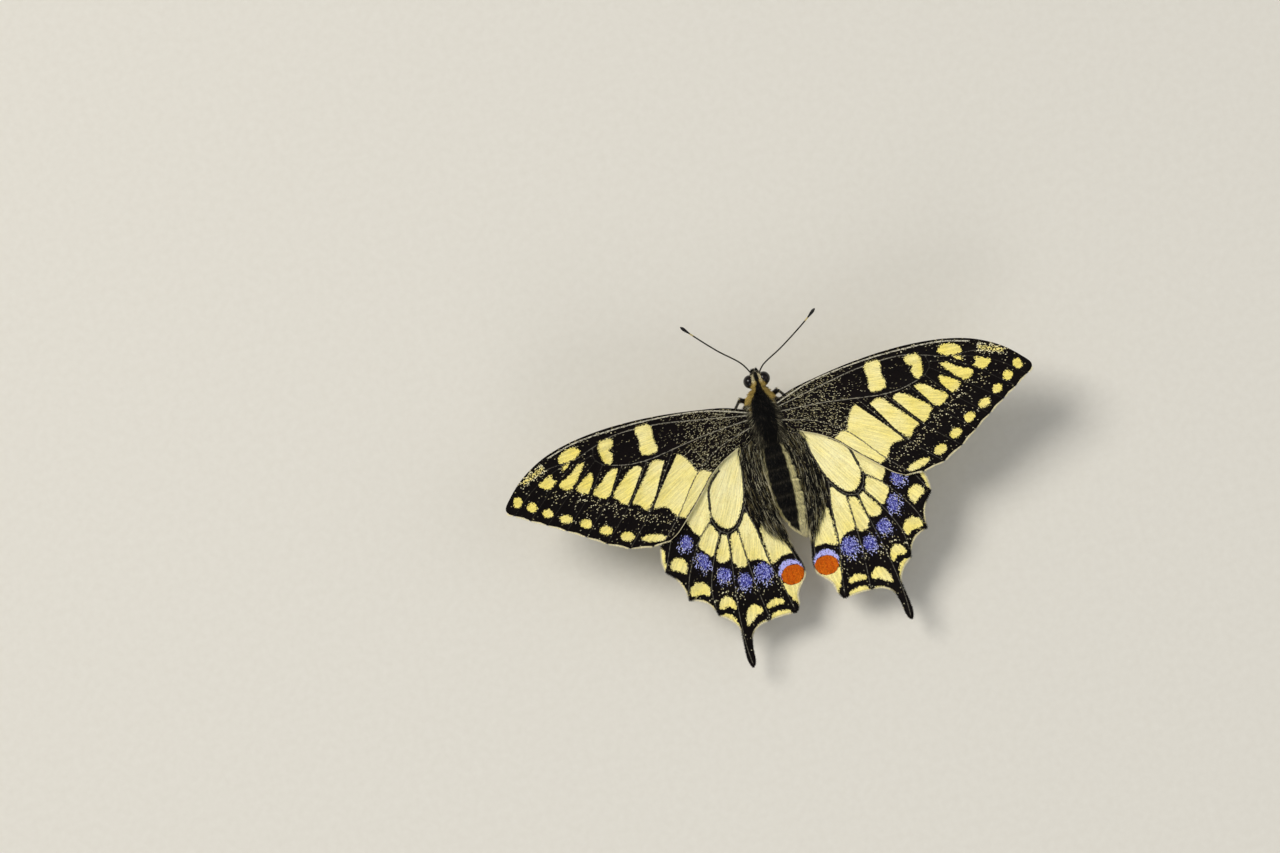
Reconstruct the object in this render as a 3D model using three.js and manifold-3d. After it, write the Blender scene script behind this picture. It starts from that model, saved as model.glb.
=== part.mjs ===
// An Old World swallowtail butterfly at rest with its wings spread, in millimetres, +Z up.
// It is laid out in the specimen's own frame first: +Y towards the head, +X to the butterfly's
// right, Z = 0 in the plane of the wing roots. The stance group then pitches it nose up and lifts
// it over the ground, the legs are set between the thorax and the ground, and the whole is turned
// to face -Y with the middle of its box over the origin.

import * as THREE from 'three';
import { mergeVertices } from 'three/addons/utils/BufferGeometryUtils.js';
import { TessellateModifier } from 'three/addons/modifiers/TessellateModifier.js';
import Module from 'manifold-3d';

const wasm = await Module();
wasm.setup();

// ---- driving dimensions ----

const gap = 0.3; // left between neighbouring pieces
const floorSlab = { size: 60, depth: 10 }; // cuts the soles level

const stancePose = { pitch: 8, rootHeight: 11.4 }; // nose-up angle, wing roots over the ground

const wing = {
  thickness: 0.5,
  dihedral: 6, // each wing rises this many degrees outwards
  camber: 0.0016, // fall of the wing fore and aft of its crest, per square millimetre
  crest: -4, // the Y of that crest
  foreLevel: 0.45, // middle of the forewing over the root plane
  hindLevel: -0.4, // middle of the hindwing, under the forewing
  facet: 5.5, // longest edge of a facet
  facetRounds: 9, // passes that halve the longer edges
};

// The hindwings are turned about their roots: the right one is spread more than the left.
const hindTurn = { right: 1.8, left: -1.8, pivot: [2.5, -2] };

const body = {
  thoraxX: 0.35, // the body lies a little right of the wings' middle line
  headX: 0.68,
  level: -1.2, // Z of the middle of the thorax
  bend: 0.0065, // the abdomen curves to the right behind bendFrom, per square millimetre
  bendFrom: -5,
  drop: 0.006, // and hangs down behind dropFrom
  dropFrom: -6,
};

// Profiles run from tail end to head end as [half width, Y].
const thoraxProfile = [
  [0, -4.7], [1.4, -4.35], [2.1, -3.4], [2.7, -1.8], [2.9, 0.2],
  [2.6, 1.9], [2.05, 2.9], [1.3, 3.55], [0, 3.85],
];
const abdomenProfile = [
  [0, -20.0], [0.9, -19.6], [1.85, -18], [2.5, -15.6], [2.8, -12.5],
  [2.65, -9], [2.25, -6], [1.7, -4.4], [0, -3.2],
];
const headProfile = [
  [0, 3.3], [1.0, 3.55], [1.45, 4.3], [1.55, 5.15], [1.25, 5.9], [0.75, 6.35], [0, 6.6],
];
const thoraxShape = { depth: 1.08, around: 20, along: 14 };
const abdomenShape = { depth: 1.0, around: 18, along: 25 };
const furrows = { count: 8, depth: 0.05, sharpness: 8 }; // rings between the abdomen's segments
const headShape = { depth: 1.05, around: 16, along: 10, level: -0.95 };

const eye = { x: 1.12, y: 5.15, z: -0.9, radii: [0.95, 1.02, 1.15], around: 14, along: 10 };
const palp = { from: [0.72, 5.0, -3.15], to: [0.34, 6.8, -1.55], tip: 0.2, belly: 0.3, rings: 5 };
const proboscis = {
  centre: [5.6, -3.95], // Y and Z of the coil's middle
  radius: 0.29,
  outer: 1.32,
  inner: 0.34,
  turns: 1.4,
  steps: 28,
};

const thinSides = 6; // sides of the antennae and the proboscis

// The antennae's girths, and each one as points [X, Y, Z] from the brow to the tip.
const antenna = { radius: 0.29, club: 0.42, clubStarts: 0.88, clubFull: 0.98, rings: 22 };
const antennaPath = {
  left: [[0.3, 6.0, -0.3], [-0.9, 8.1, 0.6], [-4, 11, 2.0], [-7.5, 14.8, 3.4], [-8.4, 15.9, 3.9]],
  right: [[1.15, 5.9, -0.3], [2.2, 7.1, 0.4], [5.5, 8.9, 1.6], [9.9, 11.7, 3.2], [11.9, 13.2, 3.9]],
};

// Wing outlines of the right side as points [X, Y]; the left side mirrors them.
const foreCosta = [
  [1.2, 1.0], [5, 2.5], [10, 3.45], [15, 4.1], [20, 4.4], [25, 4.3], [30, 3.65], [34, 2.45],
  [37.5, 0.5], [40, -1.75], [41.3, -3.45], [41.1, -4.35], [40.2, -4.95],
];
const foreVeinEnds = [
  [40.2, -4.95], [38.1, -6.3], [35.8, -7.65], [33.2, -9.25], [30.6, -10.95], [27.9, -12.75],
  [24.7, -14.4], [21.2, -15.1], [18.4, -14.9],
];
const foreHind = [
  [18.4, -14.9], [16.9, -14.1], [14.8, -12.2], [11.6, -9.1], [9.8, -7.2], [7.8, -5.7], [5.2, -4.4],
  [1.6, -2.6],
];
const hindCosta = [
  [1.4, -1.0], [8, -2.6], [14, -6.3], [18.3, -10.6], [20.4, -14.2], [21.1, -16.8], [21.05, -18.85],
];
const hindTeeth = [[21.05, -18.85], [18.95, -23.95], [15.3, -27.4], [12.75, -30.2]];
const hindTail = [
  [12.75, -30.2], [12.95, -32.5], [13.1, -35.3], [12.65, -36.55], [12.0, -35.9], [11.6, -33.2],
  [11.05, -31.6], [9.9, -30.7], [7.95, -30.35],
];
const hindAnalTooth = [[7.95, -30.35], [3.65, -30.5]];
const hindInner = [
  [3.65, -30.5], [2.95, -29.3], [2.7, -27.8], [1.8, -26.6], [0.85, -25.5], [0.65, -24.1],
  [1.3, -21], [1.9, -17], [2.0, -12], [2.0, -7], [1.2, -3.2],
];
const scallop = { fore: 0.1, teeth: [0.75, 0.95, 0.35], anal: 0.12 }; // depth of each notch
const shortestChord = 0.05; // points nearer than this are one
const outlineStep = 1.3; // length of an outline's chord on the plain edges
const notchSteps = { fore: 2, teeth: 4, anal: 3 }; // chords in a notch between two teeth

// Radii along a leg. The sole is flat, cut this far under the middle of the foot.
const leg = { hip: 0.5, thigh: 0.44, shin: 0.3, foot: 0.26, sole: 0.2, sides: 8, rings: 18 };
const legBend = 0.22; // how far the knee and ankle round off

// The hips are in the specimen's frame; knee, ankle, heel and toe have their Z from the ground.
// X is the distance out from the body's middle line.
const legs = {
  foreleg: {
    hip: [0.9, 1.9, -3.3], knee: [3.0, 3.1, 10.0], ankle: [4.5, 1.7, 4.0],
    heel: [6.6, 1.5, 0], toe: [8.4, 1.8, 0],
  },
  midleg: {
    hip: [1.1, 0.1, -3.6], knee: [5.6, -0.4, 9.3], ankle: [8.6, -1.5, 3.0],
    heel: [11.0, -2.5, 0], toe: [12.7, -3.1, 0],
  },
  hindleg: {
    hip: [1.0, -1.9, -3.5], knee: [4.9, -5.4, 8.2], ankle: [6.6, -9.6, 2.8],
    heel: [7.8, -12.8, 0], toe: [8.5, -14.6, 0],
  },
};

// ---- finishes ----

const finish = {
  coat: { color: 0x15110f, roughness: 0.85, metalness: 0 },
  abdomenCoat: { color: 0x1b1613, roughness: 0.8, metalness: 0 },
  eye: { color: 0x1a0f0a, roughness: 0.12, metalness: 0 },
  feeler: { color: 0x0d0b0b, roughness: 0.45, metalness: 0 },
  leg: { color: 0x2b2318, roughness: 0.5, metalness: 0 },
  wing: { color: 0xf0e58c, roughness: 0.75, metalness: 0 },
};

const material = (name) => new THREE.MeshStandardMaterial(finish[name]);

// ---- solids ----

// A closed, indexed copy with its shared corners merged and its flat triangles taken out.
function closed(geometry) {
  const bare = geometry.clone();
  for (const name of ['normal', 'uv']) {
    bare.deleteAttribute(name);
  }
  const merged = mergeVertices(bare, 1e-5);
  const index = merged.index.array;
  const kept = [];
  for (let i = 0; i < index.length; i += 3) {
    const [a, b, c] = index.slice(i, i + 3);
    if (a !== b && b !== c && c !== a) {
      kept.push(a, b, c);
    }
  }
  merged.setIndex(kept);
  return merged;
}

function toSolid(geometry) {
  const whole = closed(geometry);
  const mesh = new wasm.Mesh({
    numProp: 3,
    vertProperties: new Float32Array(whole.attributes.position.array),
    triVerts: new Uint32Array(whole.index.array),
  });
  return new wasm.Manifold(mesh);
}

function toGeometry(solid) {
  const mesh = solid.getMesh();
  const geometry = new THREE.BufferGeometry();
  geometry.setAttribute('position', new THREE.BufferAttribute(mesh.vertProperties, 3));
  geometry.setIndex(new THREE.BufferAttribute(mesh.triVerts, 1));
  geometry.computeVertexNormals();
  return geometry;
}

const cut = (solid, ...tools) => tools.reduce((left, tool) => left.subtract(tool), solid);

function eachPoint(geometry, move) {
  const position = geometry.attributes.position;
  const point = new THREE.Vector3();
  for (let i = 0; i < position.count; i += 1) {
    point.fromBufferAttribute(position, i);
    move(point);
    position.setXYZ(i, point.x, point.y, point.z);
  }
  return geometry;
}

// A body of revolution about Y, swollen by grow, flattened or deepened in Z and then bent.
function turned(profile, shape, grow, bend) {
  const line = new THREE.SplineCurve(profile.map(([r, y]) => new THREE.Vector2(r, y)));
  const middle = (profile[0][1] + profile.at(-1)[1]) / 2;
  const half = (profile.at(-1)[1] - profile[0][1]) / 2;
  const points = line.getPoints(shape.along).map((p) => {
    const y = middle + (p.y - middle) * (1 + grow / half);
    return new THREE.Vector2(Math.max(0, p.x) + grow, y);
  });
  points[0].x = 0;
  points.at(-1).x = 0;
  const geometry = new THREE.LatheGeometry(points, shape.around);
  return eachPoint(geometry, (p) => {
    p.z *= shape.depth;
    bend(p);
  });
}

// A tube with a round section along a curve; girth(t) is its radius from start to end.
function tube(curve, girth, sides, rings) {
  const frames = curve.computeFrenetFrames(rings, false);
  const geometry = new THREE.CylinderGeometry(1, 1, 1, sides, rings);
  return eachPoint(geometry, (p) => {
    const t = 0.5 - p.y;
    const ring = Math.round(t * rings);
    const centre = curve.getPointAt(t);
    const side = frames.normals[ring].clone().multiplyScalar(p.x * girth(t));
    const back = frames.binormals[ring].clone().multiplyScalar(p.z * girth(t));
    p.copy(centre).add(side).add(back);
  });
}

function ellipsoid(centre, radii, around, along, grow = 0) {
  const geometry = new THREE.SphereGeometry(1, around, along);
  geometry.scale(radii[0] + grow, radii[1] + grow, radii[2] + grow);
  return geometry.translate(...centre);
}

// ---- body ----

const segmentLength = (abdomenProfile.at(-1)[1] - abdomenProfile[0][1]) / furrows.count;

function thoraxSolid(grow = 0) {
  return toSolid(turned(thoraxProfile, thoraxShape, grow, (p) => {
    p.x += body.thoraxX;
    p.z += body.level;
  }));
}

function abdomenSolid(grow = 0) {
  return toSolid(turned(abdomenProfile, abdomenShape, grow, (p) => {
    const phase = Math.cos((p.y / segmentLength) * Math.PI) ** 2;
    const waist = 1 - furrows.depth * phase ** furrows.sharpness;
    const bent = Math.max(0, body.bendFrom - p.y);
    const hung = Math.max(0, body.dropFrom - p.y);
    p.x = p.x * waist + body.thoraxX + body.bend * bent ** 2;
    p.z = p.z * waist + body.level - body.drop * hung ** 2;
  }));
}

function headSolid(grow = 0) {
  return toSolid(turned(headProfile, headShape, grow, (p) => {
    p.x += body.headX;
    p.z += headShape.level;
  }));
}

function eyeSolid(side, grow = 0) {
  const centre = [body.headX + side * eye.x, eye.y, eye.z];
  return toSolid(ellipsoid(centre, eye.radii, eye.around, eye.along, grow));
}

function palpSolid(side) {
  const ends = [palp.from, palp.to].map(([x, y, z]) => {
    return new THREE.Vector3(body.headX + side * x, y, z);
  });
  const belly = (t) => THREE.MathUtils.lerp(palp.tip, palp.belly, Math.sin(Math.PI * t));
  return toSolid(tube(new THREE.LineCurve3(...ends), belly, leg.sides, palp.rings));
}

function proboscisSolid() {
  const points = [];
  for (let i = 0; i <= proboscis.steps; i += 1) {
    const t = i / proboscis.steps;
    const angle = Math.PI / 2 + t * proboscis.turns * 2 * Math.PI;
    const reach = THREE.MathUtils.lerp(proboscis.outer, proboscis.inner, t);
    const y = proboscis.centre[0] - reach * Math.cos(angle);
    const z = proboscis.centre[1] + reach * Math.sin(angle);
    points.push(new THREE.Vector3(body.headX, y, z));
  }
  const coil = new THREE.CatmullRomCurve3(points);
  return toSolid(tube(coil, () => proboscis.radius, thinSides, proboscis.steps));
}

function antennaSolid(side) {
  const curve = new THREE.CatmullRomCurve3(antennaPath[side].map((p) => new THREE.Vector3(...p)));
  const girth = (t) => {
    const swell = THREE.MathUtils.smoothstep(t, antenna.clubStarts, antenna.clubFull);
    return THREE.MathUtils.lerp(antenna.radius, antenna.club, swell);
  };
  return toSolid(tube(curve, girth, thinSides, antenna.rings));
}

// ---- wings ----

function smooth(points) {
  const stops = points.map(([x, y]) => new THREE.Vector3(x, y, 0));
  const curve = new THREE.CatmullRomCurve3(stops, false, 'centripetal');
  const steps = Math.max(points.length, Math.round(curve.getLength() / outlineStep));
  return curve.getSpacedPoints(steps).map((p) => new THREE.Vector2(p.x, p.y));
}

// The edge between neighbouring teeth, each notch drawn in towards the wing by its own depth.
function notched(points, depths, steps) {
  const edge = [];
  for (let i = 0; i + 1 < points.length; i += 1) {
    const from = new THREE.Vector2(...points[i]);
    const to = new THREE.Vector2(...points[i + 1]);
    const inward = to.clone().sub(from).normalize();
    const dip = new THREE.Vector2(inward.y, -inward.x).multiplyScalar(2 * depths[i]);
    const bow = from.clone().add(to).multiplyScalar(0.5).add(dip);
    edge.push(...new THREE.QuadraticBezierCurve(from, bow, to).getPoints(steps));
  }
  return edge;
}

function forewingOutline() {
  const depths = foreVeinEnds.map(() => scallop.fore);
  return [...smooth(foreCosta), ...notched(foreVeinEnds, depths, notchSteps.fore), ...smooth(foreHind)];
}

function hindwingOutline() {
  return [
    ...smooth(hindCosta),
    ...notched(hindTeeth, scallop.teeth, notchSteps.teeth),
    ...smooth(hindTail),
    ...notched(hindAnalTooth, [scallop.anal], notchSteps.anal),
    ...smooth(hindInner),
  ];
}

// Leaves out the points that repeat where two stretches of an outline meet.
function distinct(points) {
  return points.filter((p, i) => p.distanceTo(points.at(i - 1)) > shortestChord);
}

function wingHeight(x, y) {
  const rise = Math.abs(x) * Math.tan(THREE.MathUtils.degToRad(wing.dihedral));
  return rise - wing.camber * (y - wing.crest) ** 2;
}

// side is 1 for the right wing and -1 for the left; turn swings the wing outwards about the pivot.
function wingSolid(outline, side, level, turn) {
  const pivot = new THREE.Vector2(...hindTurn.pivot);
  const angle = THREE.MathUtils.degToRad(turn);
  const placed = distinct(outline).map((p) => {
    const spread = p.clone().rotateAround(pivot, angle);
    return new THREE.Vector2(side * spread.x, spread.y);
  });
  const slab = new THREE.ExtrudeGeometry(new THREE.Shape(placed), {
    depth: wing.thickness,
    steps: 1,
    bevelEnabled: false,
  });
  const fine = new TessellateModifier(wing.facet, wing.facetRounds).modify(slab);
  return toSolid(eachPoint(fine, (p) => {
    p.z += level - wing.thickness / 2 + wingHeight(p.x, p.y);
  }));
}

// ---- legs ----

function legSolid(joints, side, stance) {
  const place = ([x, y, z]) => new THREE.Vector3(body.thoraxX + side * x, y, z);
  const ground = ([x, y]) => new THREE.Vector3(body.thoraxX + side * x, y, leg.sole);
  const hip = place(joints.hip).applyMatrix4(stance);
  const joint = [joints.knee, joints.ankle].map(place);
  const foot = [joints.heel, joints.toe].map(ground);
  const path = new THREE.CatmullRomCurve3([hip, ...joint, ...foot], false, 'catmullrom', legBend);
  const girths = [leg.hip, leg.thigh, leg.shin, leg.foot, leg.foot];
  const girth = (t) => {
    const at = t * (girths.length - 1);
    const low = Math.min(Math.floor(at), girths.length - 2);
    return THREE.MathUtils.lerp(girths[low], girths[low + 1], at - low);
  };
  return toSolid(tube(path, girth, leg.sides, leg.rings));
}

function groundSolid() {
  const slab = new THREE.BoxGeometry(floorSlab.size, floorSlab.size, floorSlab.depth);
  return toSolid(slab.translate(0, 0, -floorSlab.depth / 2));
}

// ---- the butterfly ----

const butterfly = new THREE.Group();
const stance = new THREE.Group();
stance.rotation.x = THREE.MathUtils.degToRad(stancePose.pitch);
stance.position.z = stancePose.rootHeight;
stance.updateMatrix();
butterfly.add(stance);

function addPiece(parent, name, solid, look) {
  const mesh = new THREE.Mesh(toGeometry(solid), material(look));
  mesh.name = name;
  parent.add(mesh);
}

const thorax = thoraxSolid();
const thoraxRoom = thoraxSolid(gap);
const headRoom = headSolid(gap);
const abdomen = cut(abdomenSolid(), thoraxRoom);
const abdomenRoom = abdomenSolid(gap);
const head = cut(headSolid(), thoraxRoom, eyeSolid(1, gap), eyeSolid(-1, gap));

addPiece(stance, 'thorax', thorax, 'coat');
addPiece(stance, 'abdomen', abdomen, 'abdomenCoat');
addPiece(stance, 'head', head, 'coat');
addPiece(stance, 'proboscis', cut(proboscisSolid(), headRoom), 'feeler');

const sides = { right: 1, left: -1 };
const thoraxOverGround = thoraxRoom.transform(stance.matrix.elements);
const ground = groundSolid();

for (const [name, side] of Object.entries(sides)) {
  const clearance = [thoraxRoom, abdomenRoom];
  const fore = wingSolid(forewingOutline(), side, wing.foreLevel, 0);
  const hind = wingSolid(hindwingOutline(), side, wing.hindLevel, hindTurn[name]);
  addPiece(stance, `forewing_${name}`, cut(fore, ...clearance), 'wing');
  addPiece(stance, `hindwing_${name}`, cut(hind, ...clearance), 'wing');
  addPiece(stance, `eye_${name}`, eyeSolid(side), 'eye');
  addPiece(stance, `palp_${name}`, cut(palpSolid(side), headRoom), 'coat');
  addPiece(stance, `antenna_${name}`, cut(antennaSolid(name), headRoom), 'feeler');
  for (const [row, joints] of Object.entries(legs)) {
    const solid = cut(legSolid(joints, side, stance.matrix), thoraxOverGround, ground);
    addPiece(butterfly, `${row}_${name}`, solid, 'leg');
  }
}

// Turned to face -Y, with the middle of the box over the origin and the soles on Z = 0.
butterfly.rotation.z = Math.PI;
butterfly.updateMatrixWorld(true);
const box = new THREE.Box3().setFromObject(butterfly, true);
const centre = box.getCenter(new THREE.Vector3());
butterfly.position.set(-centre.x, -centre.y, -box.min.z);
butterfly.updateMatrixWorld(true);

export default butterfly;
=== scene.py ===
import math

import bpy
import numpy as np
from mathutils import Matrix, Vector
from mathutils.geometry import delaunay_2d_cdt


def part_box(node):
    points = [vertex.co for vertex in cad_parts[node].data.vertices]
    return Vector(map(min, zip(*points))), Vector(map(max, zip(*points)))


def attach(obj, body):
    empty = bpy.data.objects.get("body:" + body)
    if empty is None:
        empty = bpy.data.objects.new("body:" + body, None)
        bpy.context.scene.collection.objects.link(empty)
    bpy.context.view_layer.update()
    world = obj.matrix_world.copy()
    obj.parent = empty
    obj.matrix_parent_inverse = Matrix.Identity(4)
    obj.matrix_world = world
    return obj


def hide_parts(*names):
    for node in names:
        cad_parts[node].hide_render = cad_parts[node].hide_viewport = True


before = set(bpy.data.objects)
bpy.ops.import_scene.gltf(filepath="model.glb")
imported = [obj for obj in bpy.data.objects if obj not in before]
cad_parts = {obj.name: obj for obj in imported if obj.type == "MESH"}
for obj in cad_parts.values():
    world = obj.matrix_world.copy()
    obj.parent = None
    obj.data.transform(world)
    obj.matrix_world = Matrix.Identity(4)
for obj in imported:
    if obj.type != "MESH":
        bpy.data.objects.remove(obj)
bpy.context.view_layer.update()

chance = np.random.default_rng(11)  # seeded, so that every run gives the same coat
mirror = {"right": 1, "left": -1}  # which way X runs from the middle on each side

# Lengths are millimetres in the specimen's own frame: +Y towards the head, +X to the butterfly's
# right, Z = 0 in the plane of the wing roots. placed() takes them to the model's metres.
stance = {"pitch": 8, "rootHeight": 11.4}  # nose-up degrees, wing roots over the ground
eye = {"x": 1.12, "y": 5.15, "z": -0.9, "radii": (0.95, 1.02, 1.15)}
body = {
    "thoraxX": 0.35,
    "headX": 0.68,
    "level": -1.2,
    "headLevel": -0.95,
    "bend": 0.0065,  # the abdomen curves to the right behind bendFrom
    "bendFrom": -5,
    "drop": 0.006,  # and hangs down behind dropFrom
    "dropFrom": -6,
}

pitch = math.radians(stance["pitch"])


def pitched(points):
    p = np.asarray(points, float)
    ahead = p[..., 1] * math.cos(pitch) - p[..., 2] * math.sin(pitch)
    up = p[..., 1] * math.sin(pitch) + p[..., 2] * math.cos(pitch) + stance["rootHeight"]
    return np.stack([p[..., 0], ahead, up], axis=-1)


eyeLow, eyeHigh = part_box("eye_left")
eyeAhead = pitched([0, eye["y"], eye["z"]])[1]
forward = eyeAhead + 500 * (eyeLow[1] + eyeHigh[1])  # from the specimen's frame to the model's


def grounded(points):  # turned to face -Y, in metres
    p = np.asarray(points, float)
    return np.stack([-p[..., 0], forward - p[..., 1], p[..., 2]], axis=-1) / 1000


def placed(points):
    return grounded(pitched(points))


def smoothstep(value, low, high):
    t = np.clip((value - low) / (high - low), 0, 1)
    return t * t * (3 - 2 * t)


def normal(vectors):
    return vectors / np.maximum(1e-9, np.linalg.norm(vectors, axis=-1, keepdims=True))


def between(at, places, rows):  # rows of numbers, read off between the places they are given for
    return np.stack([np.interp(at, places, column) for column in rows.T], axis=1)


def paint(red, green, blue):  # a colour picker's 0-255 values as a linear colour
    parts = [c / 255 for c in (red, green, blue)]
    return [c / 12.92 if c < 0.04045 else ((c + 0.055) / 1.055) ** 2.4 for c in parts] + [1]


class Link:  # a node's outlet, on which sums add Math nodes
    def __init__(self, recipe, socket):
        self.recipe = recipe
        self.socket = socket

    def __add__(self, other):
        return self.recipe.math("ADD", self, other)

    def __sub__(self, other):
        return self.recipe.math("SUBTRACT", self, other)

    def __rsub__(self, other):
        return self.recipe.math("SUBTRACT", other, self)

    def __mul__(self, other):
        return self.recipe.math("MULTIPLY", self, other)

    def outlet(self, name):
        return Link(self.recipe, self.socket.node.outputs[name])

    __radd__ = __add__
    __rmul__ = __mul__


class Recipe:
    def __init__(self, name):
        self.material = bpy.data.materials.new(name)
        self.material.use_nodes = True
        self.nodes = self.material.node_tree.nodes
        self.links = self.material.node_tree.links
        self.nodes.clear()

    def node(self, kind, settings=None, inputs=None, outlet=0):
        made = self.nodes.new("ShaderNode" + kind)
        for key, value in (settings or {}).items():
            setattr(made, key, value)
        for key, value in (inputs or {}).items():
            if isinstance(value, Link):
                self.links.new(value.socket, made.inputs[key])
            else:
                made.inputs[key].default_value = value
        return Link(self, made.outputs[outlet]) if len(made.outputs) else None

    def math(self, operation, *values):
        return self.node("Math", {"operation": operation}, dict(enumerate(values)))

    def field(self, name, outlet="Fac"):
        return self.node("Attribute", {"attribute_name": name}, outlet=outlet)

    def step(self, value, low, high):
        soft = {"interpolation_type": "SMOOTHSTEP"}
        return self.node("MapRange", soft, {"Value": value, "From Min": low, "From Max": high})

    def blend(self, first, second, share):
        return self.node("Mix", {"data_type": "RGBA"}, {0: share, 6: first, 7: second}, outlet=2)

    def shade(self, colour, light):  # a colour made darker or lighter by a value
        grey = self.node("CombineColor", None, {0: light, 1: light, 2: light})
        settings = {"data_type": "RGBA", "blend_type": "MULTIPLY"}
        return self.node("Mix", settings, {0: 1.0, 6: colour, 7: grey}, outlet=2)

    def stretch(self, vector, factors):
        return self.node("VectorMath", {"operation": "MULTIPLY"}, {0: vector, 1: factors})

    def noise(self, vector, scale, detail=2):
        return self.node("TexNoise", None, {"Vector": vector, "Scale": scale, "Detail": detail})

    def bump(self, height, depth, strength):
        return self.node("Bump", None, {"Height": height, "Distance": depth, "Strength": strength})

    def finish(self, inputs):
        shader = self.node("BsdfPrincipled", None, inputs)
        self.node("OutputMaterial", None, {"Surface": shader})
        return self.material


def added(name, data):  # an object in the scene for a mesh, a lamp or the camera
    made = bpy.data.objects.new(name, data)
    bpy.context.scene.collection.objects.link(made)
    return made


def netOf(name, points, faces):
    mesh = bpy.data.meshes.new(name)
    mesh.from_pydata(points, [], faces)
    return mesh


def makePiece(name, points, faces, finishes, slot, fields=None, unwrap=None, faceFinish=None):
    mesh = netOf(name, points.tolist(), faces)
    for finish in finishes:
        mesh.materials.append(finish)
    if faceFinish is not None:
        mesh.polygons.foreach_set("material_index", faceFinish)
    for field, values in (fields or {}).items():
        kind, key = ("FLOAT", "value") if values.ndim == 1 else ("FLOAT_VECTOR", "vector")
        layer = mesh.attributes.new(field, kind, "POINT")
        layer.data.foreach_set(key, values.astype(np.float32).ravel())
    if unwrap is not None:  # one place for each corner of each face
        layer = mesh.uv_layers.new(name="OFBake")
        layer.data.foreach_set("uv", unwrap.astype(np.float32).ravel())
    mesh.shade_smooth()
    piece = added(name, mesh)
    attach(piece, "root")
    return piece


fineness = 24  # points of a curve between two given ones, before it is spaced evenly
fineStep = 0.1  # between the points of a curve, where nothing else is asked for


def reachOf(line):  # how far along a line each of its points is
    return np.append(0, np.cumsum(np.linalg.norm(np.diff(line, axis=0), axis=1)))


# A smooth line through some points, as points about one step apart.
def curved(points, step=fineStep, closed=False):
    p = [np.array(q, float) for q in points]
    if closed:
        p = [p[-1]] + p + [p[0], p[1]]
    else:
        p = [2 * p[0] - p[1]] + p + [2 * p[-1] - p[-2]]
    t = np.linspace(0, 1, fineness, endpoint=False)[:, None]
    line = []
    for a, b, c, d in zip(p, p[1:], p[2:], p[3:]):
        ab, bc, cd = [max(1e-4, np.linalg.norm(k)) ** 0.5 for k in (b - a, c - b, d - c)]
        leave = ((b - a) / ab - (c - a) / (ab + bc) + (c - b) / bc) * bc
        arrive = ((c - b) / bc - (d - b) / (bc + cd) + (d - c) / cd) * bc
        rise = b * (2 * t**3 - 3 * t**2 + 1) + c * (3 * t**2 - 2 * t**3)
        line.append(rise + leave * (t**3 - 2 * t**2 + t) + arrive * (t**3 - t**2))
    return spaced(np.vstack(line + [p[-2]]), step)


def spaced(line, step):
    reach = reachOf(line)
    at = np.linspace(0, reach[-1], max(2, round(reach[-1] / step) + 1))
    return between(at, reach, line)


# The edge between neighbouring teeth, each notch drawn in towards the wing by its own depth.
def notched(points, depths):
    t = np.linspace(0, 1, fineness)[:, None]
    edge = []
    for a, b, depth in zip(points, points[1:], depths):
        a, b = np.array(a), np.array(b)
        ahead = (b - a) / np.linalg.norm(b - a)
        bow = (a + b) / 2 + 2 * depth * np.array([ahead[1], -ahead[0]])
        edge.append(a * (1 - t) ** 2 + bow * 2 * t * (1 - t) + b * t**2)
    return np.vstack(edge)


def turned(points, degrees, pivot):
    a = math.radians(degrees)
    x, y = (np.asarray(points, float) - pivot).T
    return np.stack([x * math.cos(a) - y * math.sin(a), x * math.sin(a) + y * math.cos(a)], 1) + pivot


# How far each point is from a line, and how far along it the nearest place is, from 0 to 1.
def nearLine(points, line):
    best = np.full(len(points), 1e9)
    along = np.zeros(len(points))
    count = len(line) - 1
    for i in range(count):
        a, leg = line[i], line[i + 1] - line[i]
        t = np.clip((points - a) @ leg / max(1e-9, leg @ leg), 0, 1)
        far = np.linalg.norm(points - a - t[:, None] * leg, axis=1)
        closer = far < best
        best[closer] = far[closer]
        along[closer] = (i + t[closer]) / count
    return best, along


def within(points, loop):  # True for the points inside a closed loop
    x, y = points.T
    inside = np.zeros(len(points), bool)
    for (ax, ay), (bx, by) in zip(loop, np.roll(loop, -1, axis=0)):
        crosses = (ay > y) != (by > y)
        inside ^= crosses & (x < (bx - ax) * (y - ay) / (by - ay + 1e-12) + ax)
    return inside


def depthIn(points, loop, reach=1.5):  # millimetres inside a closed loop, negative outside
    depth = np.full(len(points), -float(reach))
    near = np.all((points > loop.min(0) - reach) & (points < loop.max(0) + reach), axis=1)
    picked = points[near]
    far, _ = nearLine(picked, np.vstack([loop, loop[:1]]))
    depth[near] = np.where(within(picked, loop), far, -np.minimum(far, reach))
    return depth


patchEdge = {"corner": 0.16, "step": 0.12}  # share of a side that each corner takes, and spacing


def cornered(outline):  # straight sides with small round corners
    p = np.asarray(outline, float)
    side = np.roll(p, -1, axis=0) - p
    corner = patchEdge["corner"]
    bends = np.stack([p + side * corner, p + side * (1 - corner)], axis=1)
    return curved(bends.reshape(-1, 2), patchEdge["step"], closed=True)


def patches(points, outlines):  # the same for the nearest of several patches
    return np.max([depthIn(points, cornered(outline)) for outline in outlines], axis=0)


def oval(centre, size, tilt, count=12):
    a = np.linspace(0, 2 * math.pi, count, endpoint=False)
    flat = np.stack([size[0] / 2 * np.cos(a), size[1] / 2 * np.sin(a)], 1)
    return turned(flat, tilt, (0, 0)) + np.array(centre)


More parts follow.
